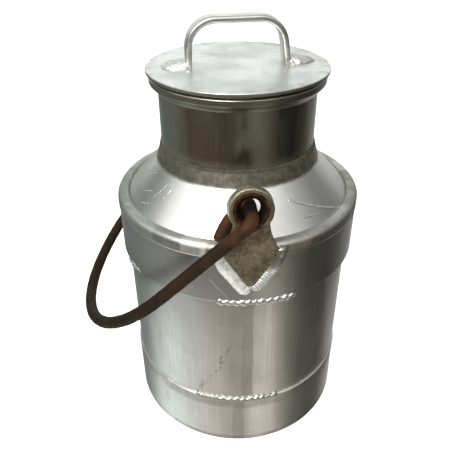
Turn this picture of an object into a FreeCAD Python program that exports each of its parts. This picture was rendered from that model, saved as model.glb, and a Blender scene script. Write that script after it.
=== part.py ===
import FreeCAD, Part
import math
import os
import re
import Sketcher
from FreeCAD import Placement, Rotation, Vector

# A ten-litre aluminium milk can: a welded can with a recessed base, a stout band and rolled rim at
# the shoulder, a neck, a plug lid with a strap handle, and a steel bail hung in two cast lugs.
#
# Frame: millimetres, +Z up. The origin is the centre of the foot ring, on the surface it stands on.
# The two lugs stand on the Y axis (front lug at -Y) and the bail hangs towards -X.

DIMENSIONS = [
    # alias, value, what it is
    ("foot_radius", 110.0, "outside of the foot ring"),
    ("foot_height", 61.0, "top edge of the foot ring"),
    ("foot_inner_radius", 102.0, "inside of the foot ring's thick lower bead"),
    ("foot_bead_round", 3.0, "rounding of the bead's inner lower edge"),
    ("shell_radius", 108.4, "outside of the body shell"),
    ("sheet", 2.2, "sheet thickness of shell, shoulder and neck"),
    ("shell_bottom", 16.0, "lower edge of the shell, on the foot ring's ledge"),
    ("shell_top", 240.0, "upper edge of the shell, under the rim"),
    ("base_top", 25.0, "inside floor of the can"),
    ("base_sheet", 3.0, "thickness of the base plate"),
    ("base_flange_bottom", 18.0, "lower edge of the base plate's turned-down flange"),
    ("base_flange_sheet", 2.5, "thickness of that flange"),
    ("band_radius", 113.3, "outside of the band"),
    ("band_bottom", 188.7, "lower edge of the band"),
    ("band_edge_round", 1.2, "rounding of the band's lower edge"),
    ("rim_radius", 113.8, "outside of the rolled rim"),
    ("rim_root", 234.0, "where the band starts to swell into the rim"),
    ("rim_bottom", 235.5, "where the rim's roll starts on the band"),
    ("rim_top", 246.3, "crest of the rim"),
    ("rim_round", 5.2, "radius of the rim's outer roll"),
    ("rim_inner_radius", 103.5, "inner edge of the rim, where the shoulder starts"),
    ("rim_inner_round", 1.8, "rounding of the rim's inner edge"),
    ("cone_foot", 243.9, "outer face of the shoulder at the rim"),
    ("cone_drop", 3.27, "sheet thickness of the sloping shoulder, measured straight down"),
    ("collar_radius", 74.1, "root of the upturned collar round the neck"),
    ("collar_bottom", 276.3, "height of the collar's root"),
    ("collar_top_radius", 70.5, "outside of the collar at its top"),
    ("collar_top", 290.9, "top of the collar"),
    ("collar_inner_foot", 278.2, "inner face of the shoulder at the neck tube"),
    ("collar_round", 7.0, "flare between shoulder and collar"),
    ("neck_radius", 69.4, "outside of the neck tube"),
    ("neck_bottom", 275.0, "lower end of the neck tube"),
    ("neck_top", 346.0, "upper end of the neck tube, under the mouth ring"),
    ("mouth_radius", 76.6, "outside of the mouth ring"),
    ("mouth_top", 351.6, "flat top of the mouth ring"),
    ("mouth_side_bottom", 346.3, "lower end of the mouth ring's upright side"),
    ("mouth_taper_bottom", 339.6, "lower end of the mouth ring's tapered foot"),
    ("mouth_foot_radius", 70.6, "outside of the mouth ring at its foot"),
    ("mouth_round", 1.4, "rounding of the mouth ring's outer edge"),
    ("lid_radius", 78.6, "outside of the lid plate"),
    ("lid_bottom", 354.2, "underside of the lid plate"),
    ("lid_top", 357.2, "top of the lid plate"),
    ("lid_edge_round", 0.9, "rounding of the lid plate's edges"),
    ("plug_flange_radius", 73.4, "flange of the plug, resting on the mouth ring"),
    ("plug_radius", 66.0, "outside of the plug's skirt"),
    ("plug_sheet", 1.8, "sheet thickness of the skirt"),
    ("plug_bottom", 324.0, "lower end of the skirt"),
    ("plug_end_round", 0.8, "rounding of the skirt's lower edges"),
    ("grip_half_span", 45.0, "half of the lid handle's outside width at its feet"),
    ("grip_left_top", 43.7, "upper left corner of the handle, before its bend"),
    ("grip_right_top", 39.7, "upper right corner of the handle, which leans in more"),
    ("grip_height", 40.0, "height of the lid handle above the lid"),
    ("grip_strap", 5.8, "thickness of the handle strap"),
    ("grip_width", 18.0, "width of the handle strap"),
    ("grip_bend", 25.0, "outer bend radius of the strap"),
    ("grip_edge_round", 1.8, "rounding of the strap's long edges"),
    ("grip_turn", 3.8, "angle of the handle to the X axis, degrees"),
    ("pad_reach", 22.0, "how far a handle weld reaches out over the lid"),
    ("pad_half_width", 13.0, "half width of a handle weld"),
    ("pad_rise", 5.0, "height of a handle weld against the strap"),
    ("eye_height", 279.6, "centre of the eye on its front face"),
    ("eye_front", 114.5, "centre of the eye's front face, out from the can's axis"),
    ("eye_back", 102.5, "upright back face of the eye"),
    ("eye_tilt", 14.0, "how far the eye leans back, degrees"),
    ("eye_radius", 17.5, "outside of the eye at its front face"),
    ("eye_back_radius", 19.6, "outside of the eye at the end of its taper"),
    ("eye_length", 22.0, "length of the tapered eye before its back is cut upright"),
    ("bush_radius", 14.2, "outside of the steel bush"),
    ("bush_bore_radius", 10.25, "bore of the steel bush"),
    ("bush_setback", 0.5, "how far the bush sits behind the eye's front face"),
    ("web_front", 116.2, "front face of the web under the eye"),
    ("web_back", 110.4, "back face of the web above the rim"),
    ("web_half_top", 14.0, "half width of the web under the eye"),
    ("web_half_rim", 21.0, "half width of the web at the rim"),
    ("web_bottom", 240.0, "lower end of the web, inside the shield"),
    ("web_top", 272.0, "upper end of the web, inside the eye"),
    ("shield_inside", 110.3, "inner face of the shield before the band is cut out of it"),
    ("shield_radius", 117.3, "curved outer face of the shield"),
    ("shield_half_top", 23.5, "half width of the shield at the rim"),
    ("shield_top", 244.0, "upper edge of the shield"),
    ("shield_shoulder", 240.0, "height where the shield starts to narrow"),
    ("shield_tip_half", 3.0, "half width of the shield's blunt tip"),
    ("shield_tip", 211.0, "height of the shield's tip"),
    ("bead_radius", 117.0, "outer face of the lug weld"),
    ("bead_half_top", 31.7, "half width of the lug weld at its top"),
    ("bead_top", 241.0, "top of the lug weld"),
    ("bead_knee_half", 31.0, "half width of the lug weld at its knee"),
    ("bead_knee", 235.0, "height of the lug weld's knee"),
    ("bead_tip_half", 6.0, "half width of the lug weld at its tip"),
    ("bead_tip", 199.0, "lowest point of the lug weld"),
    ("band_seam_leg", 4.4, "leg of the fillet welds under the band"),
    ("foot_seam_leg", 3.4, "leg of the fillet welds on the foot ring"),
    ("blank_back", 98.4, "back of the flat blanks of shield and lug weld"),
    ("blank_front", 119.3, "front of those blanks"),
    ("blank_margin", 5.0, "how far a cutting body runs past the piece that it cuts"),
    ("rod_radius", 5.5, "bail rod"),
    ("hinge_height", 275.5, "axis about which the bail swings"),
    ("hang_angle", 134.0, "bail at rest, measured from upright, degrees"),
    ("arch_radius", 120.0, "centre line of the bail's arch"),
    ("arch_centre", 94.5, "centre of the arch, out from the hinge axis"),
    ("leg_half", 124.7, "centre line of the leg at the hinge axis"),
    ("eye_bend", 8.5, "bend of the rod on each side of the eye"),
    ("return_half", 89.5, "centre line of the hook's return behind the eye"),
    ("curl_start", 11.0, "where the return leans outwards"),
    ("curl_bend", 8.0, "bend at that place"),
    ("curl_half", 98.3, "middle of the curl, out from the can's axis"),
    ("curl_mid", 26.5, "middle of the curl, out from the hinge axis"),
    ("curl_mid_bend", 12.0, "bend at the middle of the curl"),
    ("curl_end_half", 109.6, "cut end of the rod, out from the can's axis"),
    ("curl_end", 34.7, "cut end of the rod, out from the hinge axis"),
]

NODES = [
    "foot_ring", "base_plate", "body_shell", "top_band", "shoulder_cone", "neck_tube", "mouth_ring",
    "front_lug", "rear_lug", "front_lug_bush", "rear_lug_bush", "front_lug_weld", "rear_lug_weld",
    "band_seam_welds", "foot_seam_welds", "lid_plate", "lid_plug", "lid_handle", "lid_handle_welds",
    "bail",
]

# Stretches of fillet weld, as (start, end) angles in degrees from the front, towards +X.
BAND_SEAM_STRETCHES = [(-14.0, 22.0), (-70.0, -57.0), (166.0, 202.0)]
FOOT_SEAM_STRETCHES = [(-26.0, 17.0), (154.0, 197.0)]

doc = FreeCAD.newDocument("milk_can")
sheet = doc.addObject("Spreadsheet::Sheet", "Dimensions")


def fill_sheet():
    """Write every driving dimension to the sheet, one row each, with its alias."""
    for row, (alias, number, note) in enumerate(DIMENSIONS, start=1):
        sheet.set("A%d" % row, note)
        sheet.set("B%d" % row, str(number))
        sheet.setAlias("B%d" % row, alias)
    doc.recompute()


def bound(formula):
    """The formula with each cell's alias written the way an expression needs it."""
    return re.sub(r"\b([a-z][a-z_]+)\b", r"Dimensions.\1", formula)


def value(formula):
    """The number that a formula in the cells' aliases gives."""
    return float(sheet.evalExpression(bound(formula)))


def bind(thing, path, formula, unit=""):
    """Bind one property of an object to a formula in the cells' aliases."""
    expression = bound(formula)
    thing.setExpression(path, "(%s) * 1 %s" % (expression, unit) if unit else expression)


def new_body(name):
    body = doc.addObject("PartDesign::Body", name)
    body.Label = name
    return body


def new_sketch(body, name, role):
    """An empty sketch on one of the body's own origin planes."""
    sketch = body.newObject("Sketcher::SketchObject", name)
    plane = next(item for item in body.Origin.OriginFeatures if item.Role == role)
    sketch.AttachmentSupport = [(plane, "")]
    sketch.MapMode = "FlatFace"
    return sketch


def fix_point(sketch, geometry, end, across, up):
    """Hold one end of a piece of geometry at (across, up), given as formulas."""
    for kind, axis, formula in (("DistanceX", -2, across), ("DistanceY", -1, up)):
        if formula == "0":
            sketch.addConstraint(Sketcher.Constraint("PointOnObject", geometry, end, axis))
            continue
        held = Sketcher.Constraint(kind, -1, 1, geometry, end, value(formula))
        index = sketch.addConstraint(held)
        sketch.setExpression("Constraints[%d]" % index, bound(formula))


def draw_outline(sketch, corners):
    """A closed outline of straight lines whose corners are pairs of formulas."""
    points = [Vector(value(across), value(up), 0) for across, up in corners]
    count = len(points)
    for i in range(count):
        sketch.addGeometry(Part.LineSegment(points[i], points[(i + 1) % count]), False)
    for i in range(count):
        sketch.addConstraint(Sketcher.Constraint("Coincident", i, 2, (i + 1) % count, 1))
    for i, (across, up) in enumerate(corners):
        fix_point(sketch, i, 1, across, up)


def near_end(sketch, geometry, place):
    """Which end of a line or arc lies at a place: 1 for its start, 2 for its end."""
    return min((1, 2), key=lambda end: (sketch.getPoint(geometry, end) - place).Length)


def join_tangent(sketch, one, two, place):
    """Join two pieces of geometry smoothly where they meet."""
    ends = near_end(sketch, one, place), near_end(sketch, two, place)
    sketch.addConstraint(Sketcher.Constraint("Tangent", one, ends[0], two, ends[1]))


def hold_radius(sketch, geometry, formula):
    index = sketch.addConstraint(Sketcher.Constraint("Radius", geometry, value(formula)))
    sketch.setExpression("Constraints[%d]" % index, bound(formula))


def bend_between(before, corner, after, radius):
    """The arc of a radius that rounds a corner, as its first, middle and last points."""
    back = (before - corner).normalize()
    onward = (after - corner).normalize()
    half = back.getAngle(onward) / 2
    inward = (back + onward).normalize()
    setback = radius / math.tan(half)
    middle = corner + inward * (radius / math.sin(half) - radius)
    return corner + back * setback, middle, corner + onward * setback


def bent_line(sketch, marks, bends):
    """Straight runs joined by arcs, through marks given as pairs of formulas.

    Each inner mark is held by a point that lies on both of its runs. A start given as a Vector
    is left free. The runs' numbers are returned."""
    spots = [mark if isinstance(mark, Vector) else Vector(value(mark[0]), value(mark[1]), 0)
             for mark in marks]
    arcs = [bend_between(spots[i], spots[i + 1], spots[i + 2], value(bend))
            for i, bend in enumerate(bends)]
    starts = [spots[0]] + [arc[2] for arc in arcs]
    ends = [arc[0] for arc in arcs] + [spots[-1]]
    runs = [sketch.addGeometry(Part.LineSegment(*pair), False) for pair in zip(starts, ends)]
    for i, bend in enumerate(bends):
        arc = sketch.addGeometry(Part.Arc(*arcs[i]), False)
        join_tangent(sketch, runs[i], arc, arcs[i][0])
        join_tangent(sketch, arc, runs[i + 1], arcs[i][2])
        hold_radius(sketch, arc, bend)
        corner = sketch.addGeometry(Part.Point(spots[i + 1]), True)
        fix_point(sketch, corner, 1, *marks[i + 1])
        for run in (runs[i], runs[i + 1]):
            sketch.addConstraint(Sketcher.Constraint("PointOnObject", corner, 1, run))
    if not isinstance(marks[0], Vector):
        fix_point(sketch, runs[0], 1, *marks[0])
    fix_point(sketch, runs[-1], 2, *marks[-1])
    return runs


def round_circles(body, name, formula, places):
    """Round the circular edges that lie at the given (radius, height) places."""
    doc.recompute()
    base = body.Tip
    wanted = [(value(radius), value(height)) for radius, height in places]
    edges = []
    for number, edge in enumerate(base.Shape.Edges, start=1):
        if not isinstance(edge.Curve, Part.Circle):
            continue
        here = (edge.Curve.Radius, edge.Curve.Center.z)
        if any(abs(here[0] - r) < 0.01 and abs(here[1] - z) < 0.01 for r, z in wanted):
            edges.append("Edge%d" % number)
    if len(edges) != len(places):
        raise ValueError("%s found %d of %d edges" % (name, len(edges), len(places)))
    rounding = body.newObject("PartDesign::Fillet", name)
    rounding.Base = (base, edges)
    bind(rounding, "Radius", formula)
    body.Tip = rounding


def turned(name, corners, rounds=()):
    """A piece turned about the can's axis: its outline is in (radius, height) formulas."""
    body = new_body(name)
    sketch = new_sketch(body, name + "_outline", "XZ_Plane")
    draw_outline(sketch, corners)
    turning = body.newObject("PartDesign::Revolution", name + "_turned")
    turning.Profile = sketch
    turning.ReferenceAxis = (sketch, ["V_Axis"])
    turning.Angle = 360
    sketch.Visibility = False
    body.Tip = turning
    for number, (formula, places) in enumerate(rounds, start=1):
        round_circles(body, "%s_round_%d" % (name, number), formula, places)
    return body


def can_pieces():
    """The welded can itself, from the foot ring up to the mouth ring."""
    turned("foot_ring", [
        ("shell_radius", "foot_height"), ("foot_radius", "foot_height"),
        ("foot_radius", "0"), ("foot_inner_radius", "0"),
        ("foot_inner_radius", "shell_bottom"), ("shell_radius", "shell_bottom"),
    ], [("foot_bead_round", [("foot_inner_radius", "0")])])
    flange_inside = "shell_radius - sheet - base_flange_sheet"
    turned("base_plate", [
        ("0", "base_top - base_sheet"), (flange_inside, "base_top - base_sheet"),
        (flange_inside, "base_flange_bottom"), ("shell_radius - sheet", "base_flange_bottom"),
        ("shell_radius - sheet", "base_top"), ("0", "base_top"),
    ])
    turned("body_shell", [
        ("shell_radius - sheet", "shell_bottom"), ("shell_radius", "shell_bottom"),
        ("shell_radius", "shell_top"), ("shell_radius - sheet", "shell_top"),
    ])
    band = turned("top_band", [
        ("shell_radius", "band_bottom"), ("band_radius", "band_bottom"),
        ("band_radius", "rim_root"), ("rim_radius", "rim_bottom"),
        ("rim_radius", "rim_top"), ("rim_inner_radius", "rim_top"),
        ("rim_inner_radius", "shell_top"), ("shell_radius", "shell_top"),
    ], [
        ("rim_round", [("rim_radius", "rim_top")]),
        ("rim_inner_round", [("rim_inner_radius", "rim_top")]),
        ("band_edge_round", [("band_radius", "band_bottom")]),
    ])
    turned("shoulder_cone", [
        ("rim_inner_radius", "cone_foot"), ("collar_radius", "collar_bottom"),
        ("collar_top_radius", "collar_top"), ("neck_radius", "collar_top"),
        ("neck_radius", "collar_inner_foot"), ("rim_inner_radius", "cone_foot - cone_drop"),
    ], [("collar_round", [("collar_radius", "collar_bottom")])])
    turned("neck_tube", [
        ("neck_radius - sheet", "neck_bottom"), ("neck_radius", "neck_bottom"),
        ("neck_radius", "neck_top"), ("neck_radius - sheet", "neck_top"),
    ])
    turned("mouth_ring", [
        ("neck_radius", "mouth_taper_bottom"), ("mouth_foot_radius", "mouth_taper_bottom"),
        ("mouth_radius", "mouth_side_bottom"), ("mouth_radius", "mouth_top"),
        ("neck_radius - sheet", "mouth_top"), ("neck_radius - sheet", "neck_top"),
        ("neck_radius", "neck_top"),
    ], [("mouth_round", [("mouth_radius", "mouth_top"), ("mouth_radius", "mouth_side_bottom")])])
    return band


def lid_pieces():
    """The lid: a plate, a plug that goes down the neck, and a strap handle."""
    turned("lid_plate", [
        ("0", "lid_bottom"), ("lid_radius", "lid_bottom"),
        ("lid_radius", "lid_top"), ("0", "lid_top"),
    ], [("lid_edge_round", [("lid_radius", "lid_bottom"), ("lid_radius", "lid_top")])])
    turned("lid_plug", [
        ("plug_radius - plug_sheet", "plug_bottom"), ("plug_radius", "plug_bottom"),
        ("plug_radius", "mouth_top"), ("plug_flange_radius", "mouth_top"),
        ("plug_flange_radius", "lid_bottom"), ("plug_radius - plug_sheet", "lid_bottom"),
    ], [("plug_end_round", [("plug_radius", "plug_bottom"),
                            ("plug_radius - plug_sheet", "plug_bottom")])])
    lid_handle()
    handle_welds()


def grip_placement():
    """Where the lid handle stands: on the lid's top, turned a little about Z."""
    turn = Rotation(Vector(0, 0, 1), value("grip_turn"))
    return Placement(Vector(0, 0, value("lid_top")), turn)


def lid_handle():
    """A flat strap bent to a low arch, standing across the lid."""
    body = new_body("lid_handle")
    sketch = new_sketch(body, "lid_handle_outline", "XZ_Plane")
    outside = bent_line(sketch, [
        ("-grip_half_span", "0"), ("-grip_left_top", "grip_height"),
        ("grip_right_top", "grip_height"), ("grip_half_span", "0"),
    ], ["grip_bend", "grip_bend"])
    inside_height = "grip_height - grip_strap"
    inside = bent_line(sketch, [
        ("grip_strap - grip_half_span", "0"), ("grip_strap - grip_left_top", inside_height),
        ("grip_right_top - grip_strap", inside_height), ("grip_half_span - grip_strap", "0"),
    ], ["grip_bend - grip_strap", "grip_bend - grip_strap"])
    for end, place in ((1, 0), (2, -1)):
        outer, inner = outside[place], inside[place]
        sole = sketch.addGeometry(Part.LineSegment(
            sketch.getPoint(outer, end), sketch.getPoint(inner, end)), False)
        sketch.addConstraint(Sketcher.Constraint("Coincident", sole, 1, outer, end))
        sketch.addConstraint(Sketcher.Constraint("Coincident", sole, 2, inner, end))
    pad = body.newObject("PartDesign::Pad", "lid_handle_pad")
    pad.Profile = sketch
    pad.SideType = "Symmetric"
    bind(pad, "Length", "grip_width")
    body.Tip = pad
    doc.recompute()
    reach = value("grip_width") / 2
    long_edges = ["Edge%d" % number for number, edge in enumerate(pad.Shape.Edges, start=1)
                  if all(abs(abs(v.Point.y) - reach) < 0.01 for v in edge.Vertexes)
                  and abs(edge.Vertexes[0].Point.y - edge.Vertexes[-1].Point.y) < 0.01
                  and not all(abs(v.Point.z) < 0.01 for v in edge.Vertexes)]
    rounding = body.newObject("PartDesign::Fillet", "lid_handle_round")
    rounding.Base = (pad, long_edges)
    bind(rounding, "Radius", "grip_edge_round")
    body.Tip = rounding
    body.Placement = grip_placement()


def handle_welds():
    """Two lumps of weld on the lid, one against the outer face of each foot of the handle."""
    lumps = []
    for side, name in ((-1, "left"), (1, "right")):
        dome = doc.addObject("Part::Ellipsoid", "pad_dome_" + name)
        bind(dome, "Radius1", "pad_rise")
        bind(dome, "Radius2", "pad_reach")
        bind(dome, "Radius3", "pad_half_width")
        dome.Angle1 = 0
        block = doc.addObject("Part::Box", "pad_block_" + name)
        bind(block, "Length", "pad_reach")
        bind(block, "Width", "2 * pad_half_width")
        bind(block, "Height", "pad_rise + 2 * blank_margin")
        inner = -value("pad_reach") if side > 0 else 0
        corner = Vector(inner, -value("pad_half_width"), -value("blank_margin"))
        block.Placement = Placement(corner, Rotation())
        lump = doc.addObject("Part::Cut", "pad_" + name)
        lump.Base = dome
        lump.Tool = block
        foot = Placement(Vector(side * value("grip_half_span"), 0, 0), Rotation())
        lump.Placement = grip_placement() * foot
        lumps.append(lump)
    welds = doc.addObject("Part::Compound", "lid_handle_welds")
    welds.Links = lumps
    welds.Label = "lid_handle_welds"


def prism(name, corners, depth_from, depth_to):
    """A plate across Y: its outline is in (x, z) formulas and it spans two distances towards -Y."""
    plate = doc.addObject("Part::Extrusion", name)
    outline = doc.addObject("Sketcher::SketchObject", name + "_outline")
    outline.Placement = Placement(Vector(), Rotation(Vector(1, 0, 0), 90))
    draw_outline(outline, corners)
    plate.Base = outline
    plate.DirMode = "Custom"
    plate.Dir = Vector(0, -1, 0)
    plate.Solid = True
    bind(plate, "LengthFwd", "%s - (%s)" % (depth_to, depth_from))
    plate.Placement = Placement(Vector(0, -value(depth_from), 0), Rotation())
    return plate


def tube_section(name, inner, outer, bottom, top):
    """A tube about the can's axis, wide enough to give a plate its curved faces."""
    solid = doc.addObject("Part::Cylinder", name + "_outside")
    hollow = doc.addObject("Part::Cylinder", name + "_inside")
    for cylinder, radius in ((solid, outer), (hollow, inner)):
        bind(cylinder, "Radius", radius)
        bind(cylinder, "Height", "%s - (%s)" % (top, bottom))
        bind(cylinder, "Placement.Base.z", bottom)
    tube = doc.addObject("Part::Cut", name)
    tube.Base = solid
    tube.Tool = hollow
    return tube


def boolean(kind, name, base, tool):
    result = doc.addObject("Part::" + kind, name)
    result.Base = base
    result.Tool = tool
    return result


def joined(name, pieces):
    result = doc.addObject("Part::MultiFuse", name)
    result.Shapes = pieces
    return result


def eye_axis(setback):
    """The eye's own frame: its axis leans back, and it starts behind the front face by setback."""
    lean = Rotation(Vector(1, 0, 0), -90 - value("eye_tilt"))
    front = Placement(Vector(0, -value("eye_front"), value("eye_height")), lean)
    return front * Placement(Vector(0, 0, setback), Rotation())


def behind_eye(name):
    """A block behind the eye, which cuts its back face upright."""
    block = doc.addObject("Part::Box", name)
    bind(block, "Length", "4 * eye_radius")
    bind(block, "Width", "2 * eye_length")
    bind(block, "Height", "4 * eye_radius")
    corner = Vector(-2 * value("eye_radius"), -value("eye_back"),
                    value("eye_height") - 2 * value("eye_radius"))
    block.Placement = Placement(corner, Rotation())
    return block


def drill(name, radius):
    """A straight drill along the eye's axis, starting in front of the eye."""
    tool = doc.addObject("Part::Cylinder", name)
    bind(tool, "Radius", radius)
    bind(tool, "Height", "2 * eye_length")
    tool.Placement = eye_axis(-value("blank_margin"))
    return tool


def lug(name, band, turn):
    """A cast lug: a leaning eye on a web that spreads into a curved shield on the band.

    The casting before its turn is returned, for the weld that runs round it."""
    taper = doc.addObject("Part::Cone", name + "_taper")
    bind(taper, "Radius1", "eye_radius")
    bind(taper, "Radius2", "eye_back_radius")
    bind(taper, "Height", "eye_length")
    taper.Placement = eye_axis(0)
    web = prism(name + "_web", [
        ("-web_half_rim", "web_bottom"), ("web_half_rim", "web_bottom"),
        ("web_half_top", "web_top"), ("-web_half_top", "web_top"),
    ], "web_back", "web_front")
    shield_plate = prism(name + "_plate", [
        ("-shield_half_top", "shield_top"), ("-shield_half_top", "shield_shoulder"),
        ("-shield_tip_half", "shield_tip"), ("shield_tip_half", "shield_tip"),
        ("shield_half_top", "shield_shoulder"), ("shield_half_top", "shield_top"),
    ], "blank_back", "blank_front")
    curve = tube_section(name + "_curve", "shield_inside", "shield_radius",
                         "shield_tip - blank_margin", "shield_top + blank_margin")
    shield = boolean("Common", name + "_shield", shield_plate, curve)
    blank = joined(name + "_blank", [taper, web, shield])
    trimmed = boolean("Cut", name + "_trimmed", blank, behind_eye(name + "_back"))
    bored = boolean("Cut", name + "_bored", trimmed, drill(name + "_drill", "bush_radius"))
    casting = boolean("Cut", name, bored, band)
    casting.Label = name
    casting.Placement = turn
    return bored


def lug_bush(name, turn):
    """A steel bush pressed into the eye, cut upright at the back with it."""
    sleeve = doc.addObject("Part::Cylinder", name + "_sleeve")
    bind(sleeve, "Radius", "bush_radius")
    bind(sleeve, "Height", "eye_length")
    sleeve.Placement = eye_axis(value("bush_setback"))
    bored = boolean("Cut", name + "_bored", sleeve, drill(name + "_drill", "bush_bore_radius"))
    bush = boolean("Cut", name, bored, behind_eye(name + "_back"))
    bush.Label = name
    bush.Placement = turn


def lug_weld(name, band, bored, turn):
    """The V-shaped weld that runs round the shield's edge on the band."""
    strip = prism(name + "_strip", [
        ("-bead_half_top", "bead_top"), ("-bead_knee_half", "bead_knee"),
        ("-bead_tip_half", "bead_tip"), ("bead_tip_half", "bead_tip"),
        ("bead_knee_half", "bead_knee"), ("bead_half_top", "bead_top"),
    ], "blank_back", "blank_front")
    curve = tube_section(name + "_curve", "band_radius", "bead_radius",
                         "bead_tip - blank_margin", "rim_top - rim_round")
    bead = boolean("Common", name + "_bead", strip, curve)
    clear_of_band = boolean("Cut", name + "_clear_of_band", bead, band)
    weld = boolean("Cut", name, clear_of_band, bored)
    weld.Label = name
    weld.Placement = turn


def seam(name, radius, height, leg, rising, stretches):
    """Fillet welds with a three-cornered section, each turned through part of a circle."""
    runs = []
    for number, (start, end) in enumerate(stretches, start=1):
        outline = doc.addObject("Sketcher::SketchObject", "%s_outline_%d" % (name, number))
        outline.Placement = Placement(Vector(), Rotation(Vector(1, 0, 0), 90))
        far = "%s %s %s" % (height, "+" if rising else "-", leg)
        draw_outline(outline, [
            (radius, height), ("%s + %s" % (radius, leg), height), (radius, far),
        ])
        run = doc.addObject("Part::Revolution", "%s_%d" % (name, number))
        run.Source = outline
        run.Axis = Vector(0, 0, 1)
        run.Angle = end - start
        run.Solid = True
        run.Placement = Placement(Vector(), Rotation(Vector(0, 0, 1), start - 90))
        runs.append(run)
    welds = doc.addObject("Part::Compound", name)
    welds.Links = runs
    welds.Label = name


def tangent_point(mark, centre, radius):
    """Where the straight line from a mark touches a circle, on the side away from the middle."""
    reach = (mark - centre).Length
    swing = math.acos(radius / reach)
    outward = math.atan2(mark.y - centre.y, mark.x - centre.x)
    angle = outward - swing
    return centre + Vector(math.cos(angle), math.sin(angle), 0) * radius


def bail():
    """A round steel rod: an arch and two legs, each ending in a hook through its lug's eye."""
    body = new_body("bail")
    path = new_sketch(body, "bail_centre_line", "YZ_Plane")
    first = Vector(-value("leg_half"), 0, 0)
    centre = Vector(0, value("arch_centre"), 0)
    radius = value("arch_radius")
    touch = tangent_point(first, centre, radius)
    crest = centre + Vector(0, radius, 0)
    middle = centre + ((touch - centre) + (crest - centre)).normalize() * radius
    arch = path.addGeometry(Part.Arc(crest, middle, touch), False)
    hold_radius(path, arch, "arch_radius")
    fix_point(path, arch, 3, "0", "arch_centre")
    path.addConstraint(Sketcher.Constraint("PointOnObject", arch, near_end(path, arch, crest), -2))
    runs = bent_line(path, [
        touch, ("-leg_half", "0"), ("-return_half", "0"), ("-return_half", "curl_start"),
        ("-curl_half", "curl_mid"), ("-curl_end_half", "curl_end"),
    ], ["eye_bend", "eye_bend", "curl_bend", "curl_mid_bend"])
    join_tangent(path, arch, runs[0], touch)
    section = new_sketch(body, "bail_section", "XZ_Plane")
    circle = section.addGeometry(Part.Circle(crest, Vector(0, 0, 1), value("rod_radius")), False)
    hold_radius(section, circle, "rod_radius")
    fix_point(section, circle, 3, "0", "arch_centre + arch_radius")
    pipe = body.newObject("PartDesign::AdditivePipe", "bail_half")
    pipe.Profile = section
    pipe.Spine = (path, [])
    body.Tip = pipe
    doc.recompute()
    mirrored = body.newObject("PartDesign::Mirrored", "bail_both_halves")
    mirrored.Originals = [pipe]
    plane = next(item for item in body.Origin.OriginFeatures if item.Role == "XZ_Plane")
    mirrored.MirrorPlane = (plane, [""])
    body.Tip = mirrored
    hang = Rotation(Vector(0, 1, 0), -value("hang_angle"))
    body.Placement = Placement(Vector(0, 0, value("hinge_height")), hang)


def write_parts():
    """Check every object, then write each sub-part to its own file."""
    doc.recompute()
    bad = [item.Name for item in doc.Objects if set(item.State) & {"Invalid", "Error"}]
    if bad:
        raise RuntimeError("failed objects: " + ", ".join(bad))
    os.makedirs("parts", exist_ok=True)
    for name in NODES:
        shape = doc.getObject(name).Shape
        if shape.isNull() or not shape.isValid():
            raise RuntimeError("bad shape: " + name)
        shape.exportStep(os.path.join("parts", name + ".step"))
        print("%-20s %d solids %10.1f mm3" % (name, len(shape.Solids), shape.Volume))


fill_sheet()
top_band = can_pieces()
lid_pieces()
half_turn = Placement(Vector(), Rotation(Vector(0, 0, 1), 180))
for side, turn in (("front", Placement()), ("rear", half_turn)):
    bored_casting = lug(side + "_lug", top_band, turn)
    lug_bush(side + "_lug_bush", turn)
    lug_weld(side + "_lug_weld", top_band, bored_casting, turn)
seam("band_seam_welds", "shell_radius", "band_bottom", "band_seam_leg", False, BAND_SEAM_STRETCHES)
seam("foot_seam_welds", "shell_radius", "foot_height", "foot_seam_leg", True, FOOT_SEAM_STRETCHES)
bail()
write_parts()
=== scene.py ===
import math

import bpy
import numpy as np
from mathutils import Matrix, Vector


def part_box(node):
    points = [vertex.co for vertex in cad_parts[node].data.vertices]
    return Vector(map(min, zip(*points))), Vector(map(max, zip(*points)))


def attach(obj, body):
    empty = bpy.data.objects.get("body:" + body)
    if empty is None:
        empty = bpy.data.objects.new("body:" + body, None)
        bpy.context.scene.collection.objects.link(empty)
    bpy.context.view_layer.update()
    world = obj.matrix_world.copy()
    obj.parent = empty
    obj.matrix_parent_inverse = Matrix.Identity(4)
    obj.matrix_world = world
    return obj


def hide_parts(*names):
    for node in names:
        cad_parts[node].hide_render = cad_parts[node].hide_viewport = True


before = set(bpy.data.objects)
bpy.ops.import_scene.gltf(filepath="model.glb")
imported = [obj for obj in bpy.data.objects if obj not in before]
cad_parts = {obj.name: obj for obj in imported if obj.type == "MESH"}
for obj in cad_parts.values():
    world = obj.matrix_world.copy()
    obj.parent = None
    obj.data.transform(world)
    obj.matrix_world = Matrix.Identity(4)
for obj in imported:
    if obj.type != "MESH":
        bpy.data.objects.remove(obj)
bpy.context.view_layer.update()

MM = 0.001
TAU = 2 * math.pi


# ---------------------------------------------------------------- sizes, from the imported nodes

def low(node, axis):
    """The node's lowest coordinate on an axis, in millimetres."""
    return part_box(node)[0]["xyz".index(axis)] / MM


def high(node, axis):
    """The node's highest coordinate on an axis, in millimetres."""
    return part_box(node)[1]["xyz".index(axis)] / MM


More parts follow.
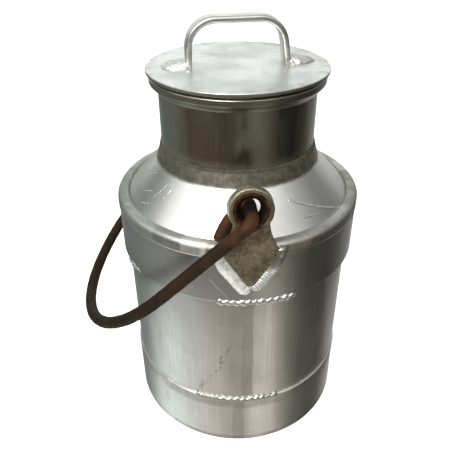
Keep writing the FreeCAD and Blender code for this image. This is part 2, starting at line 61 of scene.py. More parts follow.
SHEET, BASE_SHEET, BASE_FLANGE_SHEET, PLUG_SHEET = 2.2, 3.0, 2.5, 1.8
RIM_HEIGHT, RIM_STEP, RIM_SLOPE = 10.8, 0.5, 1.5
CONE_EDGE, COLLAR_HEIGHT, COLLAR_INSIDE = 3.27, 14.6, 1.9
MOUTH_FOOT, MOUTH_FACE = 1.2, 5.3
FOOT_RADIUS = high("foot_ring", "x")
FOOT_TOP = high("foot_ring", "z")
FOOT_INSIDE = 102.0
SHELL_RADIUS = high("body_shell", "x")
SHELL_BOTTOM = low("body_shell", "z")
SHELL_TOP = high("body_shell", "z")
BASE_TOP = high("base_plate", "z")
BASE_RADIUS = high("base_plate", "x")
BASE_FLANGE = low("base_plate", "z")
RIM_RADIUS = high("top_band", "x")
BAND_RADIUS = RIM_RADIUS - RIM_STEP
BAND_BOTTOM = low("top_band", "z")
RIM_TOP = high("top_band", "z")
RIM_BOTTOM = RIM_TOP - RIM_HEIGHT
CONE_RADIUS = high("shoulder_cone", "x")
CONE_BOTTOM = low("shoulder_cone", "z")
CONE_TOP = high("shoulder_cone", "z")
CONE_FOOT = CONE_BOTTOM + CONE_EDGE
COLLAR_RADIUS = 74.1
COLLAR_BOTTOM = CONE_TOP - COLLAR_HEIGHT
COLLAR_TOP_RADIUS = 70.5
NECK_RADIUS = high("neck_tube", "x")
NECK_BOTTOM = low("neck_tube", "z")
NECK_TOP = high("neck_tube", "z")
MOUTH_RADIUS = high("mouth_ring", "x")
MOUTH_BOTTOM = low("mouth_ring", "z")
MOUTH_TOP = high("mouth_ring", "z")
LID_RADIUS = high("lid_plate", "x")
LID_BOTTOM = low("lid_plate", "z")
LID_TOP = high("lid_plate", "z")
PLUG_BOTTOM = low("lid_plug", "z")
PLUG_FLANGE = high("lid_plug", "x")
PLUG_RADIUS = 66.0
HANDLE_TOP = high("lid_handle", "z")
HINGE_HEIGHT = 275.5


# ---------------------------------------------------------------- mesh building

def put_mesh(name, parts, attributes=None):
    """One mesh object from several closed grids.

    A grid is (points, wrap): points[i, j] runs along a path in i and round its section in j.
    The section always closes. With wrap the path closes too; without it each end is closed by
    a fan about the end's mean point, or, where wrap is "strip", by a strip that joins point j
    of the end to point n - 1 - j. A grid whose signed volume, the sum of a . (b x c) / 6 over
    its triangles, is negative is turned round, so every face looks outwards."""
    points, quads, fans, extra, start = [], [], [], {}, 0
    for number, (grid, wrap) in enumerate(parts):
        rows, columns = grid.shape[:2]
        index = np.arange(rows * columns).reshape(rows, columns) + start
        looped = wrap is True
        ahead = np.roll(index, -1, 0) if looped else index[1:]
        here = index if looped else index[:-1]
        quad = np.stack([here, ahead, np.roll(ahead, -1, 1), np.roll(here, -1, 1)], -1).reshape(-1, 4)
        flat = grid.reshape(-1, 3)
        fan = np.zeros((0, 3), int)
        if wrap == "strip":
            j = np.arange(columns // 2)
            strip = np.vstack([np.stack([j[:-1], j[1:], columns - 1 - j[:-1]], -1),
                               np.stack([j[1:], columns - 1 - j[1:], columns - j[1:]], -1)])
            fan = np.vstack([index[0][strip[:, ::-1]], index[-1][strip]])
        elif not wrap:
            tips = np.array([grid[0].mean(0), grid[-1].mean(0)])
            flat = np.vstack([flat, tips])
            first, last = index[0], index[-1]
            tip = start + rows * columns
            fan = np.vstack([
                np.stack([np.full(columns, tip), first, np.roll(first, -1)], -1),
                np.stack([np.full(columns, tip + 1), np.roll(last, -1), last], -1)])
        local = flat - flat.mean(0)
        tris = np.vstack([quad[:, [0, 1, 2]], quad[:, [0, 2, 3]], fan]) - start
        a, b, c = (local[tris[:, k]] for k in range(3))
        if np.einsum("ij,ij->i", a, np.cross(b, c)).sum() < 0:
            quad, fan = quad[:, ::-1], fan[:, ::-1]
        points.append(flat)
        quads.append(quad)
        fans.append(fan)
        for key, values in (attributes or {}).items():
            value = np.asarray(values[number], float).ravel()
            if wrap is False:
                value = np.concatenate([value, [value[0], value[-1]]])
            extra.setdefault(key, []).append(value)
        start += len(flat)
    points, quads, fans = np.vstack(points), np.vstack(quads), np.vstack(fans)
    mesh = bpy.data.meshes.new(name)
    mesh.vertices.add(len(points))
    mesh.vertices.foreach_set("co", (points * MM).astype(np.float32).ravel())
    corners = np.concatenate([quads.ravel(), fans.ravel()]).astype(np.int32)
    counts = np.concatenate([np.full(len(quads), 4), np.full(len(fans), 3)])
    mesh.loops.add(len(corners))
    mesh.loops.foreach_set("vertex_index", corners)
    mesh.polygons.add(len(counts))
    mesh.polygons.foreach_set("loop_start", (np.cumsum(counts) - counts).astype(np.int32))
    mesh.polygons.foreach_set("use_smooth", np.ones(len(counts), bool))
    for key, values in extra.items():
        layer = mesh.attributes.new(key, "FLOAT", "POINT")
        layer.data.foreach_set("value", np.concatenate(values).astype(np.float32))
    mesh.update(calc_edges=True)
    mesh.validate()
    piece = bpy.data.objects.new(name, mesh)
    bpy.context.scene.collection.objects.link(piece)
    return piece


def fit(piece, body, slot, material, *nodes):
    """Gives a piece its material, its body and the nodes that it stands for. Its slot is not used."""
    piece.data.materials.append(material)
    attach(piece, body)
    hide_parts(*nodes)


def bent_line(marks, bends, steps=9):
    """A run of straight lines whose inner marks are rounded by arcs.

    Each arc touches both of its lines: it starts bend * tan(turn / 2) before the mark, and its
    points are centre + bend * (cos, sin) over the turn. Marks are flat (across, up) pairs."""
    marks = [np.array(m, float) for m in marks]
    line = [marks[0][None]]
    for before, mark, after, bend in zip(marks, marks[1:], marks[2:], bends):
        into = (mark - before) / np.linalg.norm(mark - before)
        away = (after - mark) / np.linalg.norm(after - mark)
        cross = into[0] * away[1] - into[1] * away[0]
        turn = math.atan2(cross, into @ away)
        if bend <= 0 or abs(turn) < 1e-3:
            line.append(mark[None])
            continue
        reach = bend * math.tan(abs(turn) / 2)
        side = math.copysign(1, turn)
        normal = np.array([-into[1], into[0]]) * side
        centre = mark - into * reach + normal * bend
        angle = np.linspace(0, abs(turn), steps)[:, None]
        line.append(centre - normal * bend * np.cos(angle) + into * bend * np.sin(angle))
    line.append(marks[-1][None])
    return np.vstack(line)


def spaced(line, longest, guard=0.45):
    """The same line with more points: steps under the longest length, and one point close to
    each end of a long step, which holds the shading flat up to the rounded corner."""
    places = [line[:1]]
    for one, two in zip(line, line[1:]):
        length = np.linalg.norm(two - one)
        if length < 1e-6:
            continue
        cuts = np.linspace(0, 1, max(1, math.ceil(length / longest)) + 1)
        if length > 4 * guard:
            cuts = np.unique(np.concatenate([cuts, [guard / length, 1 - guard / length]]))
        places.append(one + (two - one) * cuts[1:, None])
    return np.vstack(places)


def even(line, step):
    """Points at equal arc lengths along a line, by linear interpolation of each coordinate."""
    along = np.concatenate([[0], np.cumsum(np.linalg.norm(np.diff(line, axis=0), axis=1))])
    stations = np.linspace(0, along[-1], max(2, round(along[-1] / step)) + 1)
    return np.stack([np.interp(stations, along, line[:, k]) for k in range(line.shape[1])], 1), stations


def circle(count):
    """Evenly spaced angles round a full turn."""
    return np.linspace(0, TAU, count, endpoint=False)


def unit(value):
    """The value held between 0 and 1."""
    return np.clip(value, 0, 1)


def spread(values, along):
    """Values evenly spaced over a run, read off at each place along it."""
    return np.interp(along, np.linspace(0, along[-1], len(values)), values)


def taper(along, reach, least):
    """A round taper at both ends of a run, from least at its tips to 1 at reach from them."""
    ends = unit(np.minimum(along, along[-1] - along) / reach)
    return np.sqrt(ends * (2 - ends)) * (1 - least) + least


def normals(tangent):
    """Unit normals on the left of flat tangents."""
    tangent = tangent / np.linalg.norm(tangent, axis=1)[:, None]
    return np.stack([-tangent[:, 1], tangent[:, 0]], 1)


def ripple(x, seed):
    """A smooth irregular line: sines of x at rising rates, each fall times the one before."""
    octaves, fall = 4, 0.55
    draw = np.random.default_rng(seed)
    total = np.zeros_like(np.asarray(x, float))
    for octave in range(octaves):
        rate, phase = 2.0 ** octave * draw.uniform(0.8, 1.25), draw.uniform(0, TAU)
        total = total + fall ** octave * np.sin(rate * x + phase)
    return total / sum(fall ** k for k in range(octaves))


def lumps(points, size, seed):
    """Smooth lumps in space: sines of the point along unit directions drawn evenly over a
    sphere, at rates near one turn per size. Their sum is scaled to lie mostly within -1 to 1."""
    waves, scale = 12, 5.0
    draw = np.random.default_rng(seed)
    ways = draw.normal(size=(waves, 3))
    ways /= np.linalg.norm(ways, axis=1)[:, None]
    rates = TAU / size * draw.uniform(0.6, 1.6, waves)
    phases = draw.uniform(0, TAU, waves)
    return np.sin((points @ ways.T) * rates + phases).sum(-1) / scale


def unevenness(azimuth, height):
    """How far hand-rolled sheet lies inside its true circle, in millimetres, never outside it:
    slow sines round the can and up it, and a few shallow dents with bell-shaped sections."""
    wave = (0.10 * np.sin(3 * azimuth + 0.6 + height / 90)
            + 0.07 * np.sin(7 * azimuth + 2.1 - height / 55)
            + 0.05 * np.sin(13 * azimuth + 0.4 + height / 31)
            + 0.03 * np.sin(23 * azimuth + height / 17))
    dents = ((-0.9, 120, 0.5, 0.11, 22), (0.62, 96, 0.45, 0.1, 17), (1.9, 150, 0.7, 0.16, 26),
             (2.9, 80, 0.6, 0.13, 20), (-2.2, 132, 0.8, 0.15, 24), (-1.35, 222, 0.35, 0.08, 12),
             (0.95, 218, 0.3, 0.07, 11), (1.2, 40, 0.35, 0.09, 12), (-2.7, 34, 0.4, 0.1, 12))
    for where, level, depth, wide, tall in dents:
        turn = np.angle(np.exp(1j * (azimuth - where)))
        wave = wave - depth * np.exp(-(turn / wide) ** 2 - ((height - level) / tall) ** 2)
    return wave - 0.25


def turned(profile, columns=320, longest=5.0, closed=True, sway=1.0, tilt=None):
    """A surface of revolution about Z.

    The profile's (radius, height) corners are rounded, then point (i, j) is
    (r sin a, -r cos a, z) with a = 2 pi i / columns, and r is lowered by the unevenness.
    A closed profile gives a ring. An open one starts and ends on the axis, and then the
    path runs along the profile and the section round the axis, so its ends are the poles."""
    marks = [(r, z) for r, z, _ in profile]
    bends = [bend for _, _, bend in profile]
    if closed:
        half = (np.array(marks[0]) + np.array(marks[-1])) / 2
        line = bent_line([half] + marks + [half], bends)
        line = spaced(line, longest)[:-1]
    else:
        line = bent_line(marks, bends[1:-1])
        line = spaced(line, longest)
        line = line[line[:, 0] > 0.6]
    azimuth = circle(columns)
    a, r = np.meshgrid(azimuth, line[:, 0], indexing="ij")
    z = np.broadcast_to(line[:, 1], r.shape)
    share = unit(r / 40)
    r = r + sway * share * unevenness(a, z)
    if tilt is not None:
        z = z + tilt(a, r)
    grid = np.stack([r * np.sin(a), -r * np.cos(a), z], -1)
    return (grid, True) if closed else (np.swapaxes(grid, 0, 1), False)


# ---------------------------------------------------------------- materials

def add_node(tree, kind, inputs=None, **settings):
    """Adds a node with its settings, and links or sets its inputs."""
    made = tree.nodes.new(kind)
    for key, value in settings.items():
        setattr(made, key, value)
    for key, value in (inputs or {}).items():
        feed(tree, made.inputs[key], value)
    return made


def feed(tree, socket, value):
    """Links a node's output to a socket, or sets the socket to a plain value."""
    source = value.socket if isinstance(value, Amount) else value
    if isinstance(source, bpy.types.NodeSocket):
        tree.links.new(source, socket)
    else:
        socket.default_value = source


class Amount:
    """A number that varies over the surface. A sum, difference or product of it is a Math node."""

    def __init__(self, finish, socket):
        self.finish, self.socket = finish, socket

    def __add__(self, other):
        return self.finish.math("ADD", self, other)

    def __sub__(self, other):
        return self.finish.math("SUBTRACT", self, other)

    def __rsub__(self, other):
        return self.finish.math("SUBTRACT", other, self)

    def __mul__(self, other):
        return self.finish.math("MULTIPLY", self, other)


class Finish:
    """A material whose nodes are added one call at a time."""

    def __init__(self, name):
        self.material = bpy.data.materials.new(name)
        self.material.use_nodes = True
        self.tree = self.material.node_tree
        self.shader = self.tree.nodes["Principled BSDF"]
        self.place = self.node("ShaderNodeTexCoord").outputs["Object"]
        split = self.node("ShaderNodeSeparateXYZ", {"Vector": self.place})
        self.x, self.y, self.z = (Amount(self, socket) for socket in split.outputs)
        self.azimuth = self.math("ARCTAN2", self.x, self.y * -1)

    def node(self, kind, inputs=None, **settings):
        return add_node(self.tree, kind, inputs, **settings)

    def math(self, kind, one, two=0.0):
        return Amount(self, self.node("ShaderNodeMath", {0: one, 1: two}, operation=kind).outputs[0])

    def step(self, value, start, end, low=0.0, high=1.0):
        """Goes smoothly from low to high as the value goes from start to end."""
        made = self.node("ShaderNodeMapRange", {
            "Value": value, "From Min": start, "From Max": end, "To Min": low, "To Max": high},
            interpolation_type="SMOOTHSTEP")
        return Amount(self, made.outputs[0])

    def within(self, value, start, end, soft):
        """One between start and end, falling smoothly to nothing over soft outside them."""
        return self.step(value, start - soft, start) * self.step(value, end + soft, end)

    def both(self, *masks):
        total = masks[0]
        for mask in masks[1:]:
            total = total * mask
        return total

    def stretched(self, across, around, up):
        """Object coordinates scaled on each axis, for streaks and grain."""
        made = self.node("ShaderNodeMapping", {"Vector": self.place, "Scale": (across, around, up)})
        return made.outputs[0]

    def noise(self, scale, detail=4.0, rough=0.55, vector=None, distortion=0.0):
        made = self.node("ShaderNodeTexNoise", {
            "Vector": vector or self.place, "Scale": scale, "Detail": detail,
            "Roughness": rough, "Distortion": distortion})
        return Amount(self, made.outputs[0])

    def blend(self, share, one, two):
        """The first colour, with a share of it replaced by the second."""
        one, two = ((*tone, 1.0) if isinstance(tone, tuple) else tone for tone in (one, two))
        return self.node("ShaderNodeMix", {0: share, 6: one, 7: two}, data_type="RGBA").outputs[2]

    def tint(self, share, tone):
        """Replaces a share of the colour made so far by another tone."""
        self.colour = self.blend(share, self.colour, tone)

    def attribute(self, name):
        return Amount(self, self.node("ShaderNodeAttribute", attribute_name=name).outputs["Fac"])

    def bump(self, height, distance, normal=None, strength=1.0):
        inputs = {"Height": height, "Distance": distance, "Strength": strength}
        if normal is not None:
            inputs["Normal"] = normal
        return self.node("ShaderNodeBump", inputs).outputs[0]

    def done(self, rough, metal, normal):
        for key, value in (("Base Color", self.colour), ("Roughness", rough), ("Metallic", metal),
                           ("Normal", normal)):
            feed(self.tree, self.shader.inputs[key], value)
        return self.material


def streaks(f, upright=14.0):
    """Fine upright rolling marks: noise sampled far more often round the can than up it."""
    return f.noise(1.0, 5.0, 0.6, f.stretched(900.0, 900.0, upright))


def line_mark(f, start, end, width):
    """A thin scratch between two (azimuth, height) places: one on the line, falling off with
    the distance from it. Azimuth is in radians and height and width in metres."""
    (a0, z0), (a1, z1) = start, end
    radius = 0.1
    along = np.array([(a1 - a0) * radius, z1 - z0])
    length = np.linalg.norm(along)
    along = along / length
    da = (f.azimuth - a0) * radius
    dz = f.z - z0
    run = da * float(along[0]) + dz * float(along[1])
    off = da * float(along[1]) - dz * float(along[0])
    near = f.step(f.math("ABSOLUTE", off), width, 0.0)
    return f.both(near, f.within(run, 0.0, float(length), 0.002))


def can_finish(name, tone, seams=(), stain=False, scratches=(), grime=(), stains_and_painted_reflections=()):
    """Worn satin aluminium sheet: upright rolling streaks, broad tarnish, a ground seam."""
    f = Finish(name)
    streak = streaks(f)
    cloud = f.noise(9.0, 3.0, 0.5)
    fine = f.noise(60.0, 6.0, 0.65)
    f.colour = f.blend(f.step(cloud, 0.35, 0.68), tone, tuple(c * 0.92 for c in tone))
    f.tint(f.step(fine, 0.5, 0.78, 0, 0.22), (0.40, 0.385, 0.345))
    f.tint(f.step(streak, 0.45, 0.78, 0, 0.12), (0.50, 0.50, 0.47))
    rough = f.step(streak, 0.3, 0.7, 0.27, 0.37) + f.step(cloud, 0.3, 0.7, -0.03, 0.05)
    specks = f.step(f.noise(420.0, 2.0, 0.5), 0.70, 0.78)
    f.tint(specks * 0.5, (0.16, 0.15, 0.13))
    height = streak * 0.3
    for centre, half, bottom, top, strength in seams:
        edge = (f.noise(70.0, 3.0) - 0.5) * 0.05
        turn = f.azimuth - centre + edge
        strip = f.both(f.within(turn, -half, half, 0.008), f.within(f.z, bottom, top, 0.004))
        halo = f.both(f.within(turn, -half * 3.0, half * 3.0, 0.05), f.within(f.z, bottom, top, 0.01),
                      f.step(f.noise(38.0, 4.0, 0.6), 0.40, 0.62))
        f.tint(halo * (0.16 * strength), (0.52, 0.49, 0.43))
        f.tint(strip * (0.34 * strength), (0.40, 0.39, 0.33))
        rough = rough + strip * 0.14
        height = height + f.noise(160.0, 3.0) * (strip * 2.0)
    if stain:
        wander = (f.noise(62.0, 4.0, 0.6) - 0.5) * 0.55
        path = (f.azimuth - -0.44) * 0.22 + 0.066
        off = f.z - path + wander * 0.11
        trail = f.both(f.step(f.math("ABSOLUTE", off), 0.0042, 0.0), f.within(f.azimuth, -0.44, -0.16, 0.03),
                       f.step(f.noise(170.0, 3.0), 0.36, 0.6))
        f.tint(trail * 0.65, (0.44, 0.35, 0.24))
        rough = rough + trail * 0.2
    for start, end, width, shade in scratches:
        mark = line_mark(f, start, end, width)
        f.tint(mark * 0.7, shade)
        rough = rough + mark * 0.12
        height = height + mark * 3.0
    for bottom, top, soft, shade, amount in grime:
        layer = f.both(f.within(f.z, bottom, top, soft), f.step(f.noise(46.0, 5.0, 0.65), 0.25, 0.6))
        f.tint(layer * amount, shade)
        rough = rough + layer * (0.14 * amount)
    # Patches by azimuth: stains, and painted reflections where the caller places them.
    for left, right, bottom, top, shade, amount in stains_and_painted_reflections:
        patch = f.both(f.within(f.azimuth, left, right, 0.03), f.within(f.z, bottom, top, 0.0015),
                       f.step(f.noise(85.0, 5.0, 0.65), 0.28, 0.52))
        f.tint(patch * amount, shade)
        rough = rough + patch * (0.18 * amount)
    normal = f.bump(height, 0.00006, strength=0.6)
    normal = f.bump(f.noise(30.0, 2.0), 0.0006, normal, 0.35)
    return f.done(rough, 1.0, normal)


def neck_finish():
    """Dull neck sheet: olive and brown clouds on a tone kept darker than the body's as a painted dark
    reflection, dark drips, bands of painted reflection round it, and a rubbed upright seam.
    """
    f = Finish("neck_sheet_aluminium")
    streak = streaks(f, 20.0)
    cloud = f.noise(16.0, 4.0, 0.6, f.stretched(1.0, 1.0, 0.45))
    # The neck's base tone sits well below the body's: a painted dark reflection, broken by random clouds.
    f.colour = f.blend(f.step(cloud, 0.34, 0.66), (0.56, 0.55, 0.49), (0.40, 0.35, 0.265))
    f.tint(f.step(streak, 0.4, 0.75, 0, 0.35), (0.26, 0.24, 0.19))
    patchy = f.step(f.noise(34.0, 5.0, 0.6, f.stretched(1.0, 1.0, 0.5)), 0.30, 0.60)
    # Bands by azimuth are painted reflections: brown left of the front, light just right of the seam, dark
    # further right, bluish grey at both sides, brown behind.
    for left, right, soft, shade, amount in (
            (-0.68, -0.20, 0.10, (0.34, 0.255, 0.165), 0.75), (0.02, 0.18, 0.08, (0.66, 0.63, 0.54), 0.55),
            (0.42, 0.62, 0.07, (0.15, 0.16, 0.15), 0.80), (-1.5, -0.95, 0.15, (0.50, 0.56, 0.54), 0.60),
            (0.85, 1.4, 0.15, (0.44, 0.49, 0.47), 0.60), (2.4, 3.0, 0.2, (0.36, 0.29, 0.20), 0.6)):
        tint = f.both(f.within(f.azimuth, left, right, soft), patchy)
        f.tint(tint * amount, shade)
    seam = f.both(f.within(f.azimuth, -0.035, 0.02, 0.03), f.step(f.noise(90.0, 4.0), 0.4, 0.65))
    f.tint(seam * 0.55, (0.20, 0.17, 0.12))
    foot = f.both(f.step(f.z, 0.300, 0.292), f.step(f.noise(60.0, 4.0, 0.6), 0.3, 0.6))
    f.tint(foot * 0.5, (0.42, 0.39, 0.32))
    rough = f.step(streak, 0.3, 0.7, 0.27, 0.36) + foot * 0.18
    normal = f.bump(streak, 0.00005, strength=0.6)
    normal = f.bump(f.noise(26.0, 2.0), 0.0006, normal, 0.4)
    return f.done(rough, 1.0, normal)


def cone_finish():
    """The shoulder: smooth spun sheet below, a dull rough collar above with painted shade along its top
    edge, and old scratches.
    """
    f = Finish("shoulder_sheet_aluminium")
    cloud = f.noise(14.0, 4.0, 0.55)
    fine = f.noise(75.0, 6.0, 0.65)
    f.colour = f.blend(f.step(cloud, 0.35, 0.68), (0.83, 0.84, 0.82), (0.70, 0.70, 0.67))
    f.tint(f.step(fine, 0.52, 0.8, 0, 0.3), (0.45, 0.43, 0.38))
    ragged = f.z + (f.noise(95.0, 4.0, 0.6) - 0.5) * 0.004
    collar = f.step(ragged, 0.2745, 0.2775)
    speckle = f.noise(170.0, 5.0, 0.7)
    dull = f.blend(f.step(speckle, 0.35, 0.65), (0.36, 0.34, 0.28), (0.22, 0.20, 0.155))
    # lip: a painted dark line on the collar's top edge, painted shade that hides the highlight on its
    # rounding.
    lip = f.step(f.z, 0.2872, 0.2896)
    dull = f.blend(lip * 0.55, dull, (0.085, 0.072, 0.050))
    f.tint(collar, dull)
    rough = f.step(cloud, 0.3, 0.7, 0.28, 0.36) + collar * 0.22
    rough = rough + lip * 0.3
    height = speckle * collar * 3.0
    marks = None
    for start, end, width in (
            ((0.445, 0.2650), (0.99, 0.2440), 0.0012), ((-1.34, 0.2650), (-1.24, 0.2700), 0.0007),
            ((-1.22, 0.2560), (-1.10, 0.2600), 0.0006), ((-1.02, 0.2580), (-0.94, 0.2690), 0.0006),
            ((-0.90, 0.2610), (-0.86, 0.2660), 0.0007), ((-1.12, 0.2500), (-1.05, 0.2520), 0.0009),
            ((0.52, 0.2520), (0.70, 0.2500), 0.0005), ((2.2, 0.2520), (2.5, 0.2600), 0.0008),
            ((-2.4, 0.2600), (-2.1, 0.2540), 0.0007)):
        mark = line_mark(f, start, end, width)
        marks = mark if marks is None else f.math("MAXIMUM", marks, mark)
    broken = marks * f.step(f.noise(240.0, 3.0), 0.35, 0.55)
    f.tint(broken * 0.8, (0.93, 0.93, 0.90))
    height = height + broken * 6.0
    normal = f.bump(height, 0.00008, strength=0.8)
    normal = f.bump(f.noise(24.0, 2.0), 0.0005, normal, 0.35)
    return f.done(rough, 1.0, normal)


def lid_finish():
    """Pale matt plate with a mottled bloom, fine rubbed arcs, smudges and brown marks."""
    f = Finish("lid_plate_aluminium")
    mottle = f.noise(22.0, 6.0, 0.6)
    fine = f.noise(150.0, 4.0, 0.6)
    f.colour = f.blend(f.step(mottle, 0.35, 0.68), (0.86, 0.90, 0.885), (0.67, 0.715, 0.70))
    f.tint(f.step(fine, 0.45, 0.8, 0, 0.3), (0.58, 0.59, 0.56))
    smudge = f.step(f.noise(34.0, 5.0, 0.7, f.stretched(1.0, 2.2, 1.0)), 0.60, 0.72)
    f.tint(smudge * 0.42, (0.42, 0.41, 0.36))
    edge = f.math("SQRT", f.x * f.x + f.y * f.y)
    brown = f.both(f.step(edge, 0.0665, 0.0745), f.step(f.noise(52.0, 4.0, 0.6), 0.50, 0.68))
    f.tint(brown * 0.55, (0.33, 0.26, 0.17))
    side = f.both(f.step(edge, 0.0774, 0.0782), f.step(f.z, 0.3570, 0.3564))
    f.tint(side * 0.75, (0.26, 0.235, 0.18))
    rough = f.step(mottle, 0.3, 0.7, 0.33, 0.42) + side * 0.1
    normal = f.bump(fine, 0.00006, strength=0.5)
    normal = f.bump(f.noise(18.0, 2.0), 0.0007, normal, 0.35)
    return f.done(rough, 1.0, normal)


def mouth_finish():
    """The mouth ring: smoked olive grey, with a painted tan highlight in streaks along its outer face and a
    painted bright highlight line low on it.
    """
    f = Finish("mouth_ring_aluminium")
    run = f.noise(1.0, 4.0, 0.6, f.stretched(38.0, 38.0, 420.0))
    f.colour = f.blend(f.step(run, 0.35, 0.68), (0.48, 0.47, 0.41), (0.27, 0.25, 0.20))
    # A painted tan highlight, streaked, across the middle of the ring's outer face.
    rub_and_highlight = f.both(f.step(run, 0.50, 0.70), f.within(f.z, 0.3475, 0.3492, 0.0009))
    f.tint(rub_and_highlight * 0.8, (0.74, 0.66, 0.53))
    # lip: a painted highlight, a bright line at the foot of the ring just above the neck.
    lip = f.within(f.z, 0.3404, 0.3416, 0.0008)
    f.tint(lip * 0.6, (0.78, 0.78, 0.74))
    normal = f.bump(run, 0.00012, strength=0.7)
    return f.done(f.step(run, 0.3, 0.7, 0.28, 0.40), 1.0, normal)


def strap_finish():
    """The lid's strap: pale rubbed faces, scratches along it, and brown dirt on its edges."""
    f = Finish("handle_strap_aluminium")
    scratch = f.noise(1.0, 5.0, 0.65, f.stretched(60.0, 500.0, 60.0))
    cloud = f.noise(48.0, 4.0, 0.6)
    f.colour = f.blend(f.step(cloud, 0.35, 0.65), (0.84, 0.84, 0.82), (0.68, 0.68, 0.64))
    f.tint(f.step(scratch, 0.52, 0.74, 0, 0.5), (0.40, 0.39, 0.34))
    dirt = f.both(f.attribute("edge"), f.step(f.noise(70.0, 4.0), 0.40, 0.60), f.step(f.z, 0.392, 0.380))
    f.tint(dirt * 0.7, (0.30, 0.235, 0.16))
    rough = f.step(scratch, 0.3, 0.7, 0.28, 0.42) + dirt * 0.15
    normal = f.bump(scratch, 0.00012, strength=0.6)
    normal = f.bump(cloud, 0.0005, normal, 0.3)
    return f.done(rough, 1.0, normal)


def cast_finish():
    """Rough sand casting: sandy olive grey with dark pits, paler where hands wear it."""
    f = Finish("sand_cast_aluminium")
    grain = f.noise(330.0, 5.0, 0.65)
    cloud = f.noise(70.0, 5.0, 0.6)
    pits = f.step(f.noise(240.0, 3.0, 0.6), 0.62, 0.70)
    f.colour = f.blend(f.step(cloud, 0.32, 0.66), (0.185, 0.145, 0.088), (0.085, 0.064, 0.036))
    f.tint(f.step(grain, 0.44, 0.70, 0, 0.55), (0.30, 0.255, 0.175))
    f.tint(pits * 0.8, (0.045, 0.034, 0.02))
    rub_and_highlight = f.attribute("rub_and_highlight")
    pale = f.blend(f.step(cloud, 0.35, 0.65), (0.47, 0.48, 0.38), (0.27, 0.265, 0.185))
    f.tint(rub_and_highlight * 0.85, pale)
    stained = f.blend(f.step(cloud, 0.35, 0.65), (0.150, 0.115, 0.060), (0.062, 0.040, 0.019))
    f.tint(f.attribute("face") * 0.92, stained)
    rough = f.step(grain, 0.3, 0.7, 0.50, 0.66) - rub_and_highlight * 0.18
    metal = f.step(rub_and_highlight, 0.0, 1.0, 0.62, 0.9)
    normal = f.bump(grain, 0.0007, strength=0.75)
    normal = f.bump(pits * -1.0, 0.0004, normal, 0.7)
    return f.done(rough, metal, normal)


def bead_finish():
    """Weld bead: bright rippled metal, darker in its grooves and along its feet."""
    f = Finish("bright_weld_bead")
    cloud = f.noise(130.0, 4.0, 0.6)
    f.colour = f.blend(f.step(cloud, 0.35, 0.65), (0.93, 0.93, 0.91), (0.80, 0.80, 0.77))
    groove = f.attribute("groove")
    f.tint(f.step(groove, 0.35, 1.0) * 0.75, (0.22, 0.21, 0.18))
    # olive: on the right lug bead's upper half, a painted dark reflection; on the seam beads, a dull tarnish
    # tone.
    f.tint(f.attribute("olive"), (0.30, 0.29, 0.235))
    rough = f.step(cloud, 0.3, 0.7, 0.26, 0.38) + groove * 0.16
    frost = f.attribute("frost")
    smear = f.noise(210.0, 5.0, 0.65, f.stretched(1.0, 1.0, 0.55), 0.8)
    f.tint(frost * f.step(smear, 0.50, 0.70, 0, 0.65), (0.36, 0.37, 0.34))
    normal = f.bump(f.noise(420.0, 3.0), 0.0001, strength=0.5)
    normal = f.bump(frost * smear, 0.0011, normal, 0.7)
    return f.done(rough, 0.9 - frost * 0.34, normal)


def rust_finish(name, dark, red, worn):
    """Rusted steel: dark scale, redder blooms, bare dark metal where it rubs, and painted near-black shade
    deep inside the eye.
    """
    f = Finish(name)
    scale = f.noise(210.0, 6.0, 0.65)
    bloom = f.noise(60.0, 5.0, 0.6)
    heat = f.attribute("rub_and_highlight")
    f.colour = f.blend(f.step(bloom, 0.38, 0.64), dark, tuple(0.8 * a + 0.2 * b for a, b in zip(dark, red)))
    f.tint(heat * f.step(bloom, 0.30, 0.55, 0.35, 1.0), red)
    f.tint(f.step(scale, 0.60, 0.74, 0, 0.55), tuple(0.35 * c for c in dark))
    f.tint(f.both(f.attribute("bare"), f.step(scale, 0.42, 0.58)), worn)
    # deep: painted shade, near black, inside the eye's bore where shadow falls.
    deep = f.attribute("deep")
    f.tint(deep * 0.93, (0.0022, 0.0012, 0.0008))
    rough = f.step(scale, 0.3, 0.7, 0.52, 0.74) - heat * 0.06
    rough = rough + deep * 0.25
    f.shader.inputs["Specular IOR Level"].default_value = 0.20
    normal = f.bump(scale, 0.0006, strength=0.6)
    normal = f.bump(bloom, 0.0008, normal, 0.3)
    return f.done(rough, f.attribute("bare") * 0.5, normal)


